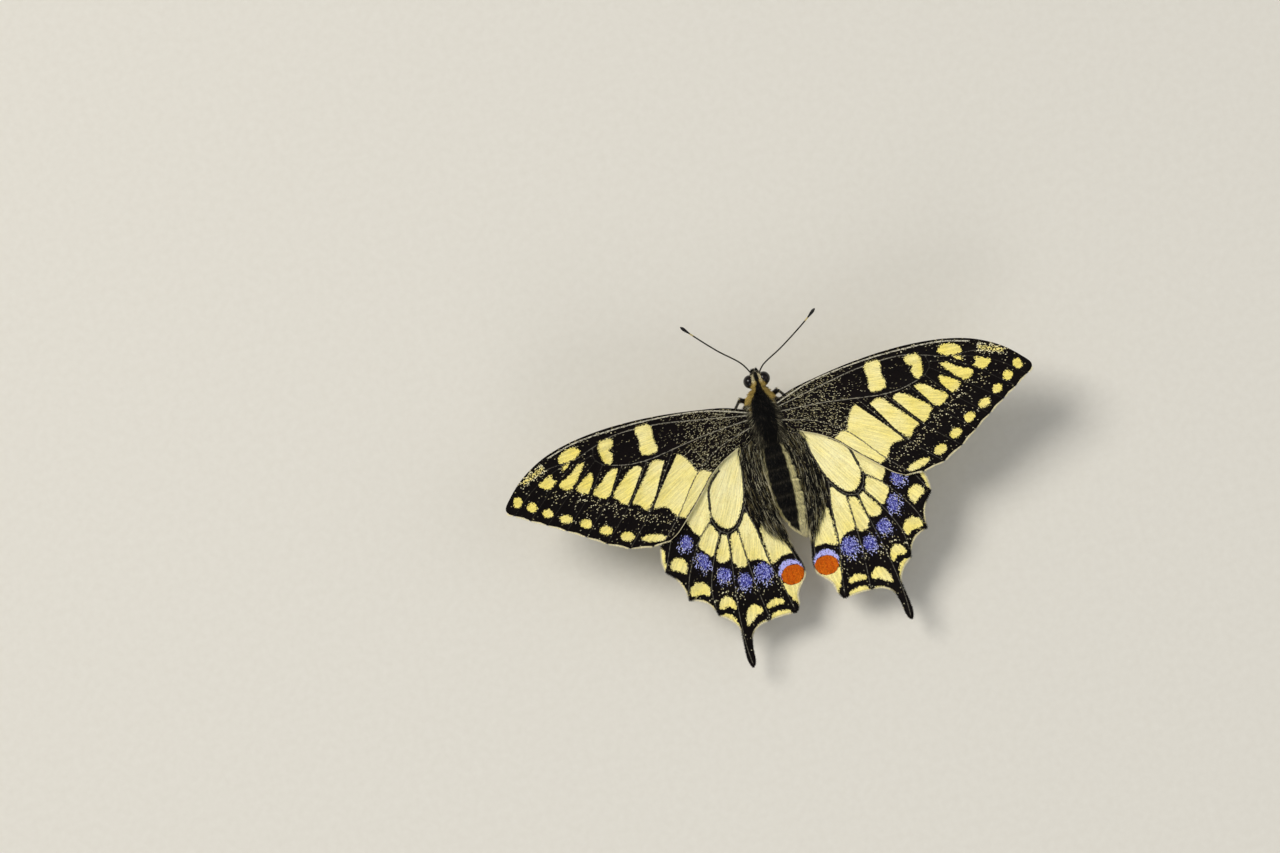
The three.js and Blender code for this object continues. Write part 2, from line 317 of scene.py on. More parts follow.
print("camera and light")
view = {
    "aim": (-18.26, 3.1),  # X and Y that the middle of the view falls on
    "roll": 15.6,  # the body leans this far to the left of upright
    "width": 193.9,  # of the view, at the wings
    "lens": 150,
    "sensor": 36,
    "nearest": 0.01,  # metres from the camera to where it starts to see
}
roll = math.radians(view["roll"])
facing = np.array([  # the view's right, its top and the way back to the camera
    [math.cos(roll), -math.sin(roll), 0],
    [math.sin(roll), math.cos(roll), 0],
    [0, 0, 1],
])
axes = placed(facing) - placed(np.zeros((3, 3)))
axes /= np.linalg.norm(axes, axis=1)[:, None]
distance = view["width"] * view["lens"] / view["sensor"]
standpoint = Matrix(axes.T.tolist()).to_4x4()
standpoint.translation = placed([*view["aim"], distance])
camera = added("camera", bpy.data.cameras.new("camera"))
camera.data.lens = view["lens"]
camera.data.sensor_width = view["sensor"]
camera.data.clip_start = view["nearest"]
camera.matrix_world = standpoint
bpy.context.scene.camera = camera

lamps = {  # in metres
    "key": {"at": (0.34, -0.3, 0.62), "size": 0.3, "watts": 2.1, "colour": (1, 0.97, 0.92)},
    "fill": {"at": (-0.5, 0.1, 0.5), "size": 0.6, "watts": 0.6, "colour": (0.93, 0.96, 1)},
    "rim": {"at": (0.1, 0.6, 0.42), "size": 0.35, "watts": 0.9, "colour": (1, 1, 1)},
}
sky = {"strength": 1.1, "spread": 0.5}  # one wide far lamp beside the key, which lights all the floor
studio = {"colour": (0.86, 0.87, 0.88, 1), "strength": 0.36}


def addLamp(name, kind, strength, lamp):
    data = bpy.data.lights.new(name, kind)
    data.energy = strength
    data.color = lamp["colour"]
    x, y, z = lamp["at"]
    piece = added(name, data)
    piece.rotation_euler = (math.atan2(math.hypot(x, y), z), 0, math.atan2(x, -y))
    return piece


for name, lamp in lamps.items():
    lampPiece = addLamp(name, "AREA", lamp["watts"], lamp)
    lampPiece.location = lamp["at"]
    lampPiece.data.size = lamp["size"]
addLamp("sky", "SUN", sky["strength"], lamps["key"]).data.angle = sky["spread"]

world = bpy.data.worlds.new("studio")
world.use_nodes = True
surround = world.node_tree.nodes["Background"].inputs
surround["Color"].default_value = studio["colour"]
surround["Strength"].default_value = studio["strength"]
bpy.context.scene.world = world
bpy.context.scene.view_settings.view_transform = "Standard"


def floorFinish():
    r = Recipe("pale floor")
    grain = r.noise(r.node("TexCoord", outlet="Object"), 900)
    tone = r.blend(paint(214, 210, 200), paint(222, 219, 210), grain)
    return r.finish({"Base Color": tone, "Roughness": 0.8})


floorSize = 6  # metres from its middle to each side
corners = [(x * floorSize, y * floorSize, 0) for x, y in ((-1, -1), (1, -1), (1, 1), (-1, 1))]
floor = added("floor", netOf("floor", corners, [(0, 1, 2, 3)]))
floor.data.materials.append(floorFinish())

print("wing outlines and veins")
wing = {
    "dihedral": 6,
    "camber": 0.0016,  # fall of the wing fore and aft of its crest, per square millimetre
    "crest": -4,
    "membrane": 0.13,  # thickness
    "foreLevel": 0.36,
    "hindLevel": -0.32,
    "fringe": 0.2,  # the membrane stops this far inside the outline
    "tail": (31, 33),  # and nearer to it down the tail, from here to here behind the root
    "tailTrim": 0.7,  # by this share
    "net": 0.25,  # spacing of the mesh
    "veinEnd": 0.12,  # the rows of corners on the veins stop this far inside its edge
    "rib": 0.075,  # height of a vein over the membrane
    "ribWidth": 0.14,
    "sag": 0.13,  # of the membrane between the veins
    "sagged": (0.1, 1.4),  # distances from a vein between which it sags
    "turn": 1.8,  # degrees that the right hindwing is spread more, and the left one less
    "pivot": (2.5, -2),
}
foreCosta = [
    (1.2, 1.0), (5, 2.5), (10, 3.45), (15, 4.1), (20, 4.4), (25, 4.3), (30, 3.65), (34, 2.45),
    (37.5, 0.5), (40, -1.75), (41.3, -3.45), (41.1, -4.35), (40.2, -4.95),
]
foreVeinEnds = [
    (40.2, -4.95), (38.1, -6.3), (35.8, -7.65), (33.2, -9.25), (30.6, -10.95), (27.9, -12.75),
    (24.7, -14.4), (21.2, -15.1), (18.4, -14.9),
]
foreHind = [
    (18.4, -14.9), (16.9, -14.1), (14.8, -12.2), (11.6, -9.1), (9.8, -7.2), (7.8, -5.7),
    (5.2, -4.4), (1.6, -2.6),
]
hindCosta = [
    (1.4, -1.0), (8, -2.6), (14, -6.3), (18.3, -10.6), (20.4, -14.2), (21.1, -16.8),
    (21.05, -18.85),
]
hindTeeth = [(21.05, -18.85), (18.95, -23.95), (15.3, -27.4), (12.75, -30.2)]
hindTail = [
    (12.75, -30.2), (12.95, -32.5), (13.1, -35.3), (12.65, -36.55), (12.0, -35.9), (11.6, -33.2),
    (11.05, -31.6), (9.9, -30.7), (7.95, -30.35),
]
hindAnalTooth = [(7.95, -30.35), (3.65, -30.5)]
hindInner = [
    (3.65, -30.5), (2.95, -29.3), (2.7, -27.8), (1.8, -26.6), (0.85, -25.5), (0.65, -24.1),
    (1.3, -21), (1.9, -17), (2.0, -12), (2.0, -7), (1.2, -3.2),
]
scallop = {"fore": 0.1, "teeth": (0.75, 0.95, 0.35), "anal": 0.12}  # depth of each notch
cornerReach = 0.3  # the hindwing's corners are rounded off over this much of its edge


def blunted(edge, reach):  # the same closed line with its corners rounded off
    line = spaced(np.vstack([edge, edge[:1]]), fineStep)[:-1]
    count = round(reach / fineStep)
    return np.mean([np.roll(line, shift, axis=0) for shift in range(-count, count + 1)], axis=0)


foreEdge = np.vstack([
    curved(foreCosta),
    notched(foreVeinEnds, [scallop["fore"]] * len(foreVeinEnds)),
    curved(foreHind),
])
hindEdge = blunted(np.vstack([
    curved(hindCosta),
    notched(hindTeeth, scallop["teeth"]),
    curved(hindTail),
    notched(hindAnalTooth, [scallop["anal"]]),
    curved(hindInner),
]), cornerReach)

# Veins run from the root to the margin.
foreVeins = [
    [(1.6, 0.6), (8, 2.65), (15, 3.55), (22, 3.75), (29, 3.25), (33, 2.2)],
    [(1.6, 0.2), (9, 1.6), (16, 2.75), (22.5, 2.85), (25.8, 2.0), (29, 0.95), (34, 0.5), (38, -1.2)],
    [(25.9, 2.0), (26.3, 0.5), (25.6, -0.6), (24, -1.4)],
    [(1.6, -0.3), (9, -0.8), (13.4, -1.4), (18.2, -2.05), (21.5, -1.95), (24, -1.4)],
    [(29, 0.95), (31.6, 0.3), (34, -0.6), (36.6, -2), (40.2, -4.95)],
    [(26.2, 0.9), (29.6, 0.0), (32.4, -1.6), (38.1, -6.3)],
    [(26.2, -0.1), (30.6, -3.4), (35.8, -7.65)],
    [(25.2, -0.9), (28.2, -4.6), (33.2, -9.25)],
    [(22.4, -1.8), (25.4, -5.8), (30.6, -10.95)],
    [(18.6, -2.1), (22.9, -7.8), (27.9, -12.75)],
    [(14.4, -1.6), (17.2, -5.6), (20, -9.5), (24.7, -14.4)],
    [(1.6, -1.4), (7.5, -3.2), (11.6, -5.9), (16.3, -11.5), (19.6, -14.9)],
]
hindVeins = [
    [(1.8, -1.9), (8, -4.2), (13, -7.6), (17.6, -12.4), (21, -18.7)],
    [(1.8, -2.2), (6.5, -4.9), (10.8, -8.3), (11.6, -10.9), (12, -13), (14.4, -15.2), (17.7, -20.3),
     (18.95, -23.95)],
    [(12, -13), (11.5, -14.7), (10.3, -15.75), (9.2, -15.6), (8.2, -14.9), (7.2, -13.5), (6.6, -12.4)],
    [(11.2, -15.1), (13.3, -18.7), (15.1, -23.3), (15.3, -27.4)],
    [(10.3, -15.75), (10.6, -18.2), (11.2, -21.5), (12.1, -27), (12.6, -33), (12.5, -36)],
    [(8.6, -15.2), (8.6, -21), (8.4, -25.5), (7.95, -30.35)],
    [(1.8, -2.8), (4.8, -5), (5.4, -8), (6.1, -10.8), (6.6, -12.4), (5.9, -16.5), (5.4, -22.3),
     (4.4, -27), (3.9, -30.2)],
    [(1.9, -4), (3.6, -9), (3.5, -14), (2.4, -18.4), (1.5, -22.4), (1.3, -24)],
]


def outwardOf(rim):  # away from the inside of a closed clockwise line
    ahead = np.roll(rim, -1, axis=0) - np.roll(rim, 1, axis=0)
    return normal(np.stack([-ahead[:, 1], ahead[:, 0]], axis=1))


spread = {"row": 0.866, "rim": 0.6, "vein": 0.5}  # of loose corners, as shares of the net's spacing


# A flat net of triangles inside an edge, with a row of its corners on every vein.
def wingNet(edge, veins):
    step = wing["net"]
    rim = spaced(edge, step)[:-1]
    inset = wing["fringe"] * (1 - wing["tailTrim"] * smoothstep(-rim[:, 1], *wing["tail"]))
    rim = rim - outwardOf(rim) * inset[:, None]
    rows = [curved(vein, step) for vein in veins]
    rows = [row[depthIn(row, rim) > wing["veinEnd"]] for row in rows]
    links = [(i, (i + 1) % len(rim)) for i in range(len(rim))]
    count = len(rim)
    for row in rows:
        links += [(count + i, count + i + 1) for i in range(len(row) - 1)]
        count += len(row)
    low, high = rim.min(0), rim.max(0)
    across, up = np.meshgrid(np.arange(low[0], high[0], step),
                             np.arange(low[1], high[1], step * spread["row"]))
    across = across + (np.arange(len(across)) % 2)[:, None] * step / 2
    grid = np.stack([across.ravel(), up.ravel()], axis=1)
    grid = grid[depthIn(grid, rim) > step * spread["rim"]]
    grid = grid[nearVein(grid, rows)[0] > step * spread["vein"]]
    loose = np.vstack([rim, *rows, grid])
    solved = delaunay_2d_cdt(loose.tolist(), links, [list(range(len(rim)))], 1, 1e-6)
    flat = np.array([tuple(v) for v in solved[0]])
    triangles = np.array([f for f in solved[2] if len(f) == 3])
    return flat, triangles[within(flat[triangles].mean(axis=1), rim)], rows


def nearVein(points, rows):  # distance to the nearest vein, and which it is
    far = np.array([nearLine(points, row)[0] for row in rows])
    return far.min(axis=0), far.argmin(axis=0)


foreNet = wingNet(foreEdge, foreVeins)
hindNet = wingNet(hindEdge, hindVeins)
print("wing nets", len(foreNet[1]), len(hindNet[1]))

print("wing markings")
# Yellow patches of the forewing, each as a few points round it.
foreYellow = [
    [(16.65, 2.55), (17.1, 3.1), (19.1, 3.2), (19.2, 2.2), (18.95, 1.0), (19.27, -0.35), (19.0, -1.2),
     (17.6, -1.45), (16.6, -1.1), (16.75, 0.2), (16.8, 1.5)],
    [(22.8, 2.6), (24.9, 2.6), (25.3, 1.2), (25.1, -0.3), (24.5, -1.2), (23.8, -1.0), (23.4, 0.2),
     (23.9, 0.9), (23.0, 1.4)],
    [(27.9, 2.0), (28.8, 2.8), (30.3, 2.6), (31.45, 1.9), (31.5, 1.0), (30.4, 0.85), (29.0, 1.05)],
    [(29.9, 0.6), (31.25, 0.3), (31.35, -0.4)],
    [(33.1, -0.3), (34.4, -0.8), (35.5, -1.35), (34.8, -2.0), (34.0, -2.45), (32.4, -1.4),
     (33.1, -1.15)],
    [(27.9, 0.2), (29.0, 0.0), (30.3, -1.1), (32.4, -2.1), (31.9, -3.0), (31.1, -3.3), (30.3, -2.9),
     (29.2, -1.6), (28.3, -0.7)],
    [(27.2, -1.6), (28.3, -2.1), (30.1, -3.35), (29.6, -4.2), (28.6, -4.6), (27.8, -3.9), (27.2, -2.6)],
    [(22.9, -2.4), (23.8, -1.95), (24.7, -2.2), (26.2, -3.5), (27.8, -4.6), (27.3, -5.5), (26.0, -6.05),
     (25.0, -5.2), (23.8, -3.7)],
    [(19.6, -2.9), (20.9, -2.5), (22.3, -3.4), (25.1, -5.9), (24.3, -6.9), (23.3, -7.85), (21.9, -6.3),
     (20.6, -4.4)],
    [(16.0, -3.0), (17.1, -2.4), (18.1, -2.6), (20.0, -4.9), (22.7, -7.75), (21.5, -8.3), (20.6, -9.5),
     (19.3, -8.3), (17.6, -5.7)],
    [(13.0, -3.2), (13.9, -2.4), (14.8, -2.7), (16.6, -5.1), (18.4, -7.6), (19.75, -9.4), (18.2, -9.5),
     (17.2, -10.1), (16.9, -10.9), (16.2, -11.6), (15.3, -12.1), (13.4, -10.4), (11.6, -8.7),
     (10.2, -7.3), (9.7, -6.5), (10.9, -5.8), (11.8, -5.9), (12.1, -4.9)],
]
foreSpots = [  # the row inside the outer margin: centre, size, tilt
    ((39.1, -3.0), (1.3, 1.75), 12), ((37.2, -4.3), (1.5, 1.35), 20), ((35.2, -5.8), (1.65, 1.35), 20),
    ((32.75, -7.38), (1.95, 1.25), 18), ((30.0, -8.88), (1.9, 1.35), 22),
    ((27.4, -10.65), (2.0, 1.35), 20), ((24.55, -12.4), (2.15, 1.4), 20),
    ((20.75, -13.7), (3.9, 1.15), 13),
]
forePaleBelow = [  # what is black above but yellow on the underside
    [(3, 0.2), (8, 2.2), (15.4, 2.8), (15.6, -1.5), (12.6, -1.2), (8, -0.6)],
    [(3.4, -1.4), (8.5, -1.3), (13, -2.0), (11.4, -5.3), (7.6, -3.0)],
]
hindYellow = [
    [(4.6, -3.6), (8.5, -5.7), (10.5, -7.7), (11.2, -9.4), (11.6, -11), (11.75, -12.6), (11.2, -14.2),
     (10.2, -15.1), (9.3, -15.15), (8.4, -14.5), (7.5, -13.4), (6.6, -12.0), (6.0, -10.5), (5.5, -8),
     (5.2, -6.2)],
    [(8.2, -5.2), (12.6, -8.4), (15.6, -11.8), (15.4, -13.4), (14.95, -14.3), (14.3, -15.0),
     (12.5, -13.3), (12.05, -12.6), (11.7, -10.6), (11.0, -8.2)],
    [(12.25, -13.6), (14.4, -15.2), (15.0, -16.1), (14.6, -17.3), (13.4, -18.6), (12.6, -17.3),
     (11.6, -15.8), (11.9, -14.8)],
    [(10.35, -16.2), (11.1, -15.7), (13.0, -18.8), (12.8, -19.7), (11.8, -19.95), (11.0, -19.4),
     (10.6, -17.8)],
    [(8.8, -15.9), (9.9, -16.1), (10.3, -18), (10.75, -20.0), (10.3, -21.1), (9.6, -21.4), (8.9, -21.3),
     (8.6, -20)],
    [(6.65, -13.4), (8.4, -15.3), (8.5, -17.5), (8.45, -20.7), (7.1, -20.9), (6.1, -21.4), (5.5, -22.4),
     (5.55, -20), (5.9, -17)],
    [(5.0, -15.8), (5.4, -17), (5.3, -20), (5.2, -22.3), (4.6, -22.1), (3.6, -21.7), (2.6, -21.6),
     (1.8, -21.9), (1.9, -20.2), (2.6, -18.9), (3.6, -17.8), (4.4, -16.8)],
    [(0.4, -24.6), (0.6, -25.9), (1.6, -27.0), (2.5, -28.2), (2.9, -29.4), (3.4, -28.9), (4.1, -27.6),
     (4.6, -26.4), (4.75, -25.2), (4.6, -24.2), (2.6, -25)],
    [(17.5, -18.3), (17.9, -17.4), (19.0, -17.0), (19.9, -17.6), (20.0, -18.6), (19.3, -18.9),
     (18.2, -19.85), (17.7, -19.2)],
    [(15.3, -22.9), (15.9, -21.9), (17.0, -21.5), (18.0, -22.0), (18.4, -23.15), (17.8, -23.5),
     (16.8, -23.4), (15.6, -24.2)],
    [(12.25, -27.0), (12.4, -25.7), (13.2, -24.8), (14.2, -25.1), (14.9, -26.35), (14.3, -26.6),
     (13.3, -26.5), (12.5, -27.3)],
    [(8.6, -28.4), (9.2, -27.5), (10.0, -27.3), (10.9, -27.9), (11.5, -29.3), (11.4, -30.3),
     (10.5, -29.6), (9.6, -29.0), (8.7, -28.8)],
    [(5.0, -28.4), (5.4, -27.7), (6.5, -27.3), (7.5, -27.7), (7.95, -28.55), (6.5, -28.45)],
    # crescents on the margin, whose outer sides lie past the edge
    [(20.2, -15.2), (20.4, -16.5), (20.65, -17.6), (21.0, -18.3), (22, -18), (21.6, -15.2)],
    [(20.9, -19.6), (20.1, -20.0), (19.2, -20.8), (18.85, -22.0), (18.95, -23.2), (20.4, -23.2),
     (22, -20.4)],
    [(18.4, -24.1), (17.2, -24.2), (16.15, -24.9), (15.65, -26.0), (15.7, -26.9), (17.4, -27.6),
     (19.4, -25)],
    [(14.8, -27.4), (13.8, -27.45), (13.05, -28.1), (12.8, -29.3), (12.78, -30.8), (14.4, -31),
     (15.4, -28.6)],
    [(8.5, -30.1), (9.6, -30.25), (10.55, -30.9), (11.15, -32.0), (11.5, -33.3), (11.75, -34.8),
     (10.2, -34.2), (8.8, -32)],
    [(4.6, -30.0), (5.2, -29.6), (6.3, -29.35), (7.3, -29.55), (7.75, -30.0), (7.4, -31.4), (5, -31.4)],
]
hindPaleBelow = [
    [(3, -2.4), (8, -3.3), (13.4, -7), (17, -11), (17.5, -13.4), (16.2, -13.5), (15.2, -12.0),
     (12.6, -8.9), (8, -5)],
    [(2.2, -5), (4.4, -5.5), (5.3, -10), (5.9, -13), (5.2, -15.4), (3.6, -17.5), (2.3, -19), (2.3, -12)],
]
hindLines = [  # black lines across the yellow: vein, first and last share of it, half widths there
    (1, 0.28, 0.52, 0.17, 0.2), (1, 0.52, 1, 0.09, 0.1), (2, 0, 1, 0.3, 0.3), (3, 0, 1, 0.1, 0.13),
    (4, 0, 1, 0.15, 0.2), (5, 0, 1, 0.1, 0.12), (6, 0, 0.36, 0.16, 0.16), (6, 0.36, 1, 0.14, 0.14),
    (7, 0.55, 0.9, 0.12, 0.16),
]
foreLines = [
    (7, 0.2, 0.45, 0.5, 0.2), (8, 0, 0.35, 0.46, 0.2), (9, 0, 1, 0.31, 0.22), (10, 0, 0.45, 0.86, 0.22),
    (10, 0.45, 1, 0.22, 0.2), (11, 0.3, 1, 0.07, 0.09),
]
# How strongly a painted highlight shines along the ridge of each vein.
foreShine = (1.0, 0.5, 0.14, 0.45, 0.14, 0.14, 0.14, 0.14, 0.14, 0.14, 0.14, 0.25)
hindShine = 0.2
eyespot = {"red": ((2.65, -24.75), (3.55, 2.95), -10), "lilac": ((2.8, -24.2), (3.8, 3.6), -10),
           "cap": ((2.8, -23.85), (4.75, 4.75), -10)}
blueSpots = [
    ((16.65, -15.3), (1.7, 2.0), 15), ((14.95, -18.8), (1.6, 2.5), -15), ((12.6, -21.6), (2.0, 2.0), 0),
    ((9.85, -23.4), (1.9, 2.2), 0), ((6.8, -23.0), (2.3, 2.6), 0),
]
frost = {"shift": 0.45, "grow": 0.6}  # pale specks on the outer side of each blue spot
foreDust = {  # yellow scales on the black, as shares of all scales
    "base": 0.08, "band": 0.066, "costa": 0.03, "least": 0.012, "apex": 0.55,
    "bandLine": [(17, -12), (22, -9.9), (26, -7.4), (30, -5.1), (34, -3.4)],
    "apexLine": [(34.3, 0.85), (35.8, 0.25), (37.35, -0.4)],
}
hindDust = {"frosted": 0.045, "outer": 0.055, "inner": 0.06, "least": 0.004}
foreFan = ((-6, 4), 34)  # where the rows of scales fan out from, and how far they spread
hindFan = ((0, 4), 26)
farthest = {"line": 1, "gap": 1.5}  # distances are read off no further than this
veinBelow = 0.12  # half the width of a dark vein on the underside


def linesOver(points, rows, lines):  # distance from the black lines, negative inside them
    clear = np.full(len(points), 1e9)
    for vein, start, end, first, last in lines:
        far, along = nearLine(points, rows[vein])
        share = np.clip((along - start) / (end - start), 0, 1)
        reached = (along >= start) & (along <= end)
        clear = np.where(reached, np.minimum(clear, far - first - (last - first) * share), clear)
    return clear


def spotted(points, spots, soft):  # 1 in the middle of soft round spots, 0 outside
    deep = np.zeros(len(points))
    for centre, size, tilt in spots:
        local = turned(points - np.array(centre), -tilt, (0, 0)) / (np.array(size) / 2)
        deep = np.maximum(deep, 1 - smoothstep(np.linalg.norm(local, axis=1), 1 - soft, 1 + soft))
    return deep


# What the marks of both kinds of wing share, and which vein each point is nearest to.
def sharedFields(net, yellow, paleBelow, lines, middle, spreadAcross):
    points, _, rows = net
    above = patches(points, yellow)
    below = np.maximum(above, patches(points, paleBelow))
    gap, vein = nearVein(points, rows)
    x, y = (points - middle).T
    lie = np.stack([np.hypot(x, y), np.arctan2(y, x) * spreadAcross, np.zeros(len(x))], axis=1)
    fields = {
        "pale": above,
        "paleBelow": np.minimum(below, gap - veinBelow),
        "line": np.minimum(linesOver(points, rows, lines), farthest["line"]),
        "gap": np.minimum(gap, farthest["gap"]),
        "lie": lie,  # how far out along the scales' lie, and how far across it
    }
    return fields, vein


def foreFields(net):
    yellow = foreYellow + [oval(*spot) for spot in foreSpots]
    fields, vein = sharedFields(net, yellow, forePaleBelow, foreLines, *foreFan)
    points = net[0]
    x, y = points.T
    hem, _ = nearLine(points, curved(foreHind, 0.3))
    base = foreDust["base"] * (1 - smoothstep(x + 0.25 * y, 9.6, 15)) * smoothstep(x, 2, 5.5)
    base = base * (1 - 0.7 * smoothstep(y - 0.16 * x, 1.2, 1.9))
    fromBand, _ = nearLine(points, curved(foreDust["bandLine"], 0.5))
    band = foreDust["band"] * np.exp(-(fromBand**2))
    costa = foreDust["costa"] * smoothstep(y, 2.6, 3.4) * smoothstep(x, 4, 8)
    dust = np.maximum.reduce([base, band, costa, np.full(len(x), foreDust["least"])])
    fromTip, _ = nearLine(points, curved(foreDust["apexLine"], 0.5))
    dust = np.maximum(dust, foreDust["apex"] * (1 - smoothstep(fromTip, 0.1, 1.05)))
    pure = smoothstep(x, 12.5, 16) * (1 - smoothstep(x, 26, 28)) * smoothstep(y, -2.2, -1.4)
    # painted highlight on the vein ridges, weaker outwards except on the first vein, and over the wing's
    # root
    veinGlint = np.array(foreShine)[vein] * (1 - 0.7 * smoothstep(x, 18, 30) * (vein > 0))
    zero = np.zeros(len(x))
    fields.update({
        "line": np.minimum(fields["line"], hem - wing["fringe"] - 0.2),
        "creamy": 0.06 + 0.4 * (1 - smoothstep(x, 14, 31)),
        "dust": dust * (1 - 0.8 * pure * (y < 3.2)),
        "veinGlint": np.maximum(veinGlint, 0.6 * (1 - smoothstep(x, 3, 7))),
        "blue": zero, "frost": zero, "lilac": zero - 1, "red": zero - 1,
    })
    return fields


def hindFields(net):
    fields, _ = sharedFields(net, hindYellow, hindPaleBelow, hindLines, *hindFan)
    points = net[0]
    x, y = points.T
    cap, lilac, red = [depthIn(points, oval(*eyespot[part], 40), 3) for part in ("cap", "lilac", "red")]
    capped = np.where((y > -24.6) | (red > -0.16), np.maximum(cap, red + 0.17), -1)
    shifted = []
    for centre, size, tilt in blueSpots:
        outward = np.array(centre) / np.linalg.norm(centre)
        shifted.append((outward * frost["shift"] + centre, np.array(size) + frost["grow"], tilt))
    frosted = spotted(points, shifted, 0.5)
    outer = smoothstep(-y, 22.6, 24.6) * (1 - smoothstep(-y, 25.4, 26.6)) * smoothstep(x, 4.6, 5.6)
    inner = hindDust["inner"] * smoothstep(-x, -6, -3) * (1 - smoothstep(-y, 14, 19))
    least = np.full(len(x), hindDust["least"])
    fields.update({
        "pale": np.minimum(fields["pale"], -capped),
        "paleBelow": np.minimum(fields["paleBelow"], -capped),
        "creamy": 0.3 + 0.45 * (1 - smoothstep(np.hypot(x, y), 12, 26)),
        "dust": np.maximum.reduce([hindDust["frosted"] * frosted, hindDust["outer"] * outer, inner, least]),
        # a weak painted highlight along the hindwing's vein ridges
        "veinGlint": np.full(len(x), hindShine),
        "blue": 0.88 * spotted(points, blueSpots, 0.35),
        "frost": 0.28 * frosted,
        "lilac": np.minimum(np.minimum(lilac, y + 25.1), -red),
        "red": red,
    })
    return fields


foreMarks = foreFields(foreNet)
hindMarks = hindFields(hindNet)

wingPaint = {
    "yellow": paint(244, 226, 120),
    "cream": paint(255, 247, 192),
    "ochre": paint(214, 184, 80),
    "black": paint(8, 6, 7),
    "brown": paint(24, 16, 14),
    "dust": paint(190, 178, 130),
    "paleDust": paint(250, 242, 200),
    # colour of the painted highlight on the vein ridges
    "glintPaint": paint(202, 196, 174),
    "blue": paint(46, 48, 140),
    "paleBlue": paint(186, 190, 246),
    "lilac": paint(170, 164, 232),
    "red": paint(174, 60, 3),
    "orange": paint(222, 120, 20),
}
scaleSize = {"long": 0.15, "wide": 0.1, "ragged": 0.3}


# Rows of round-tipped scales: three random values for each one, and the height over its root.
def shingles(r, lie):
    parts = r.node("SeparateXYZ", None, {0: lie})
    out = parts * (1 / scaleSize["long"]) + r.noise(lie, 0.8) * 1.5
    across = parts.outlet("Y") * (1 / scaleSize["wide"])
    row = r.math("FLOOR", out)
    fromMiddle = r.math("FRACT", across + row * 0.5) - 0.5
    row = row + r.math("GREATER_THAN", out - row + fromMiddle * fromMiddle * 2.2, 1.0)
    column = r.math("FLOOR", across + row * 0.5)
    cell = r.node("CombineXYZ", None, {0: column, 1: row})
    values = r.node("TexWhiteNoise", {"noise_dimensions": "2D"}, {"Vector": cell}, "Color")
    return r.node("SeparateColor", None, {0: values}), out - row


def wingFinish(name, below):
    r = Recipe(name)
    lie = r.field("lie", "Vector")
    first, height = shingles(r, lie)
    second, third = first.outlet("Green"), first.outlet("Blue")
    swell = r.noise(lie, 0.35)
    # Streaks along the lie of the scales: relief in the bump, and painted sheen where they lighten and
    # darken the yellow.
    streaksAndSheen = r.step(r.noise(r.stretch(lie, (0.25, 3.2, 1)), 1.0), 0.3, 0.7)
    ragged = (first - 0.5) * scaleSize["ragged"] + (r.noise(lie, 2.2) - 0.5) * 0.3
    pale = r.step(r.field("paleBelow" if below else "pale") + ragged, -0.03, 0.03)
    pale = pale * r.step(r.field("line") + (first - 0.5) * 0.12, -0.02, 0.02)
    yellow = r.blend(wingPaint["yellow"], wingPaint["cream"], r.field("creamy") + (swell - 0.5) * 0.9)
    yellow = r.blend(yellow, wingPaint["ochre"], r.step(third, 0.8, 1.0) * 0.4)
    # painted sheen: the yellow is lighter and darker along the streaks; second varies each scale at random
    yellow = r.shade(yellow, 0.75 + second * 0.17 + streaksAndSheen * 0.24)
    density = r.field("dust") + 0.16 if below else r.field("dust")
    dusted = r.step(density - second, -0.02, 0.02)
    black = r.blend(wingPaint["black"], wingPaint["brown"], swell * third)
    dust = r.blend(wingPaint["dust"], wingPaint["paleDust"], r.step(third, 0.2, 0.8))
    dust = r.blend(dust, wingPaint["yellow"], r.step(density, 0.3, 0.6) * 0.8)
    colour = r.blend(black, dust, dusted)
    # painted highlight: a pale line along each vein's ridge, on some scales only
    ridge = 1 - r.step(r.field("gap") - r.field("veinGlint") * 0.05, 0.02, 0.07)
    shine = r.field("veinGlint")
    colour = r.blend(colour, wingPaint["glintPaint"], shine * ridge * r.step(first + third, 0.4, 1.1))
    frosted = r.step(r.field("frost") - first - 0.02, -0.02, 0.02)
    colour = r.blend(colour, wingPaint["paleBlue"], frosted)
    bluish = r.step(r.field("blue") - third - 0.04, -0.03, 0.03)
    blue = r.blend(wingPaint["blue"], wingPaint["paleBlue"], first * second * second * 1.6)
    colour = r.blend(colour, blue, bluish)
    colour = r.blend(colour, yellow, pale)
    lilac = r.step(r.field("lilac") + ragged, -0.05, 0.05) * (1 - r.step(second, 0.8, 0.9) * 0.8)
    colour = r.blend(colour, r.blend(wingPaint["lilac"], wingPaint["paleBlue"], first), lilac)
    red = r.blend(wingPaint["red"], wingPaint["orange"], swell * first + streaksAndSheen * 0.3)
    red = r.shade(red, 0.72 + third * 0.46)
    colour = r.blend(colour, red, r.step(r.field("red") + ragged * 0.6, -0.04, 0.04))
    inputs = {
        "Base Color": r.shade(colour, 0.96) if below else colour,
        "Roughness": 0.56 + second * 0.2,
        "Specular IOR Level": 0.06,
        "Normal": r.bump(height + streaksAndSheen * 0.3 + first * 0.2, 0.00003, 0.5),
    }
    return r.finish(inputs)


wingTop = wingFinish("wing scales above", False)
wingUnder = wingFinish("wing scales below", True)


def hornFinish(name, dark, light, gloss):
    r = Recipe(name)
    where = r.node("TexCoord", outlet="Object")
    mottle = r.noise(where, 5000, 4)
    colour = r.blend(dark, light, r.field("pale"))
    colour = r.shade(colour, 0.7 + mottle * 0.6)
    grain = r.noise(where, 16000)
    return r.finish({
        "Base Color": colour,
        "Roughness": gloss + mottle * 0.2,
        "Specular IOR Level": 0.3,
        "Normal": r.bump(grain, 0.00002, 0.5),
    })


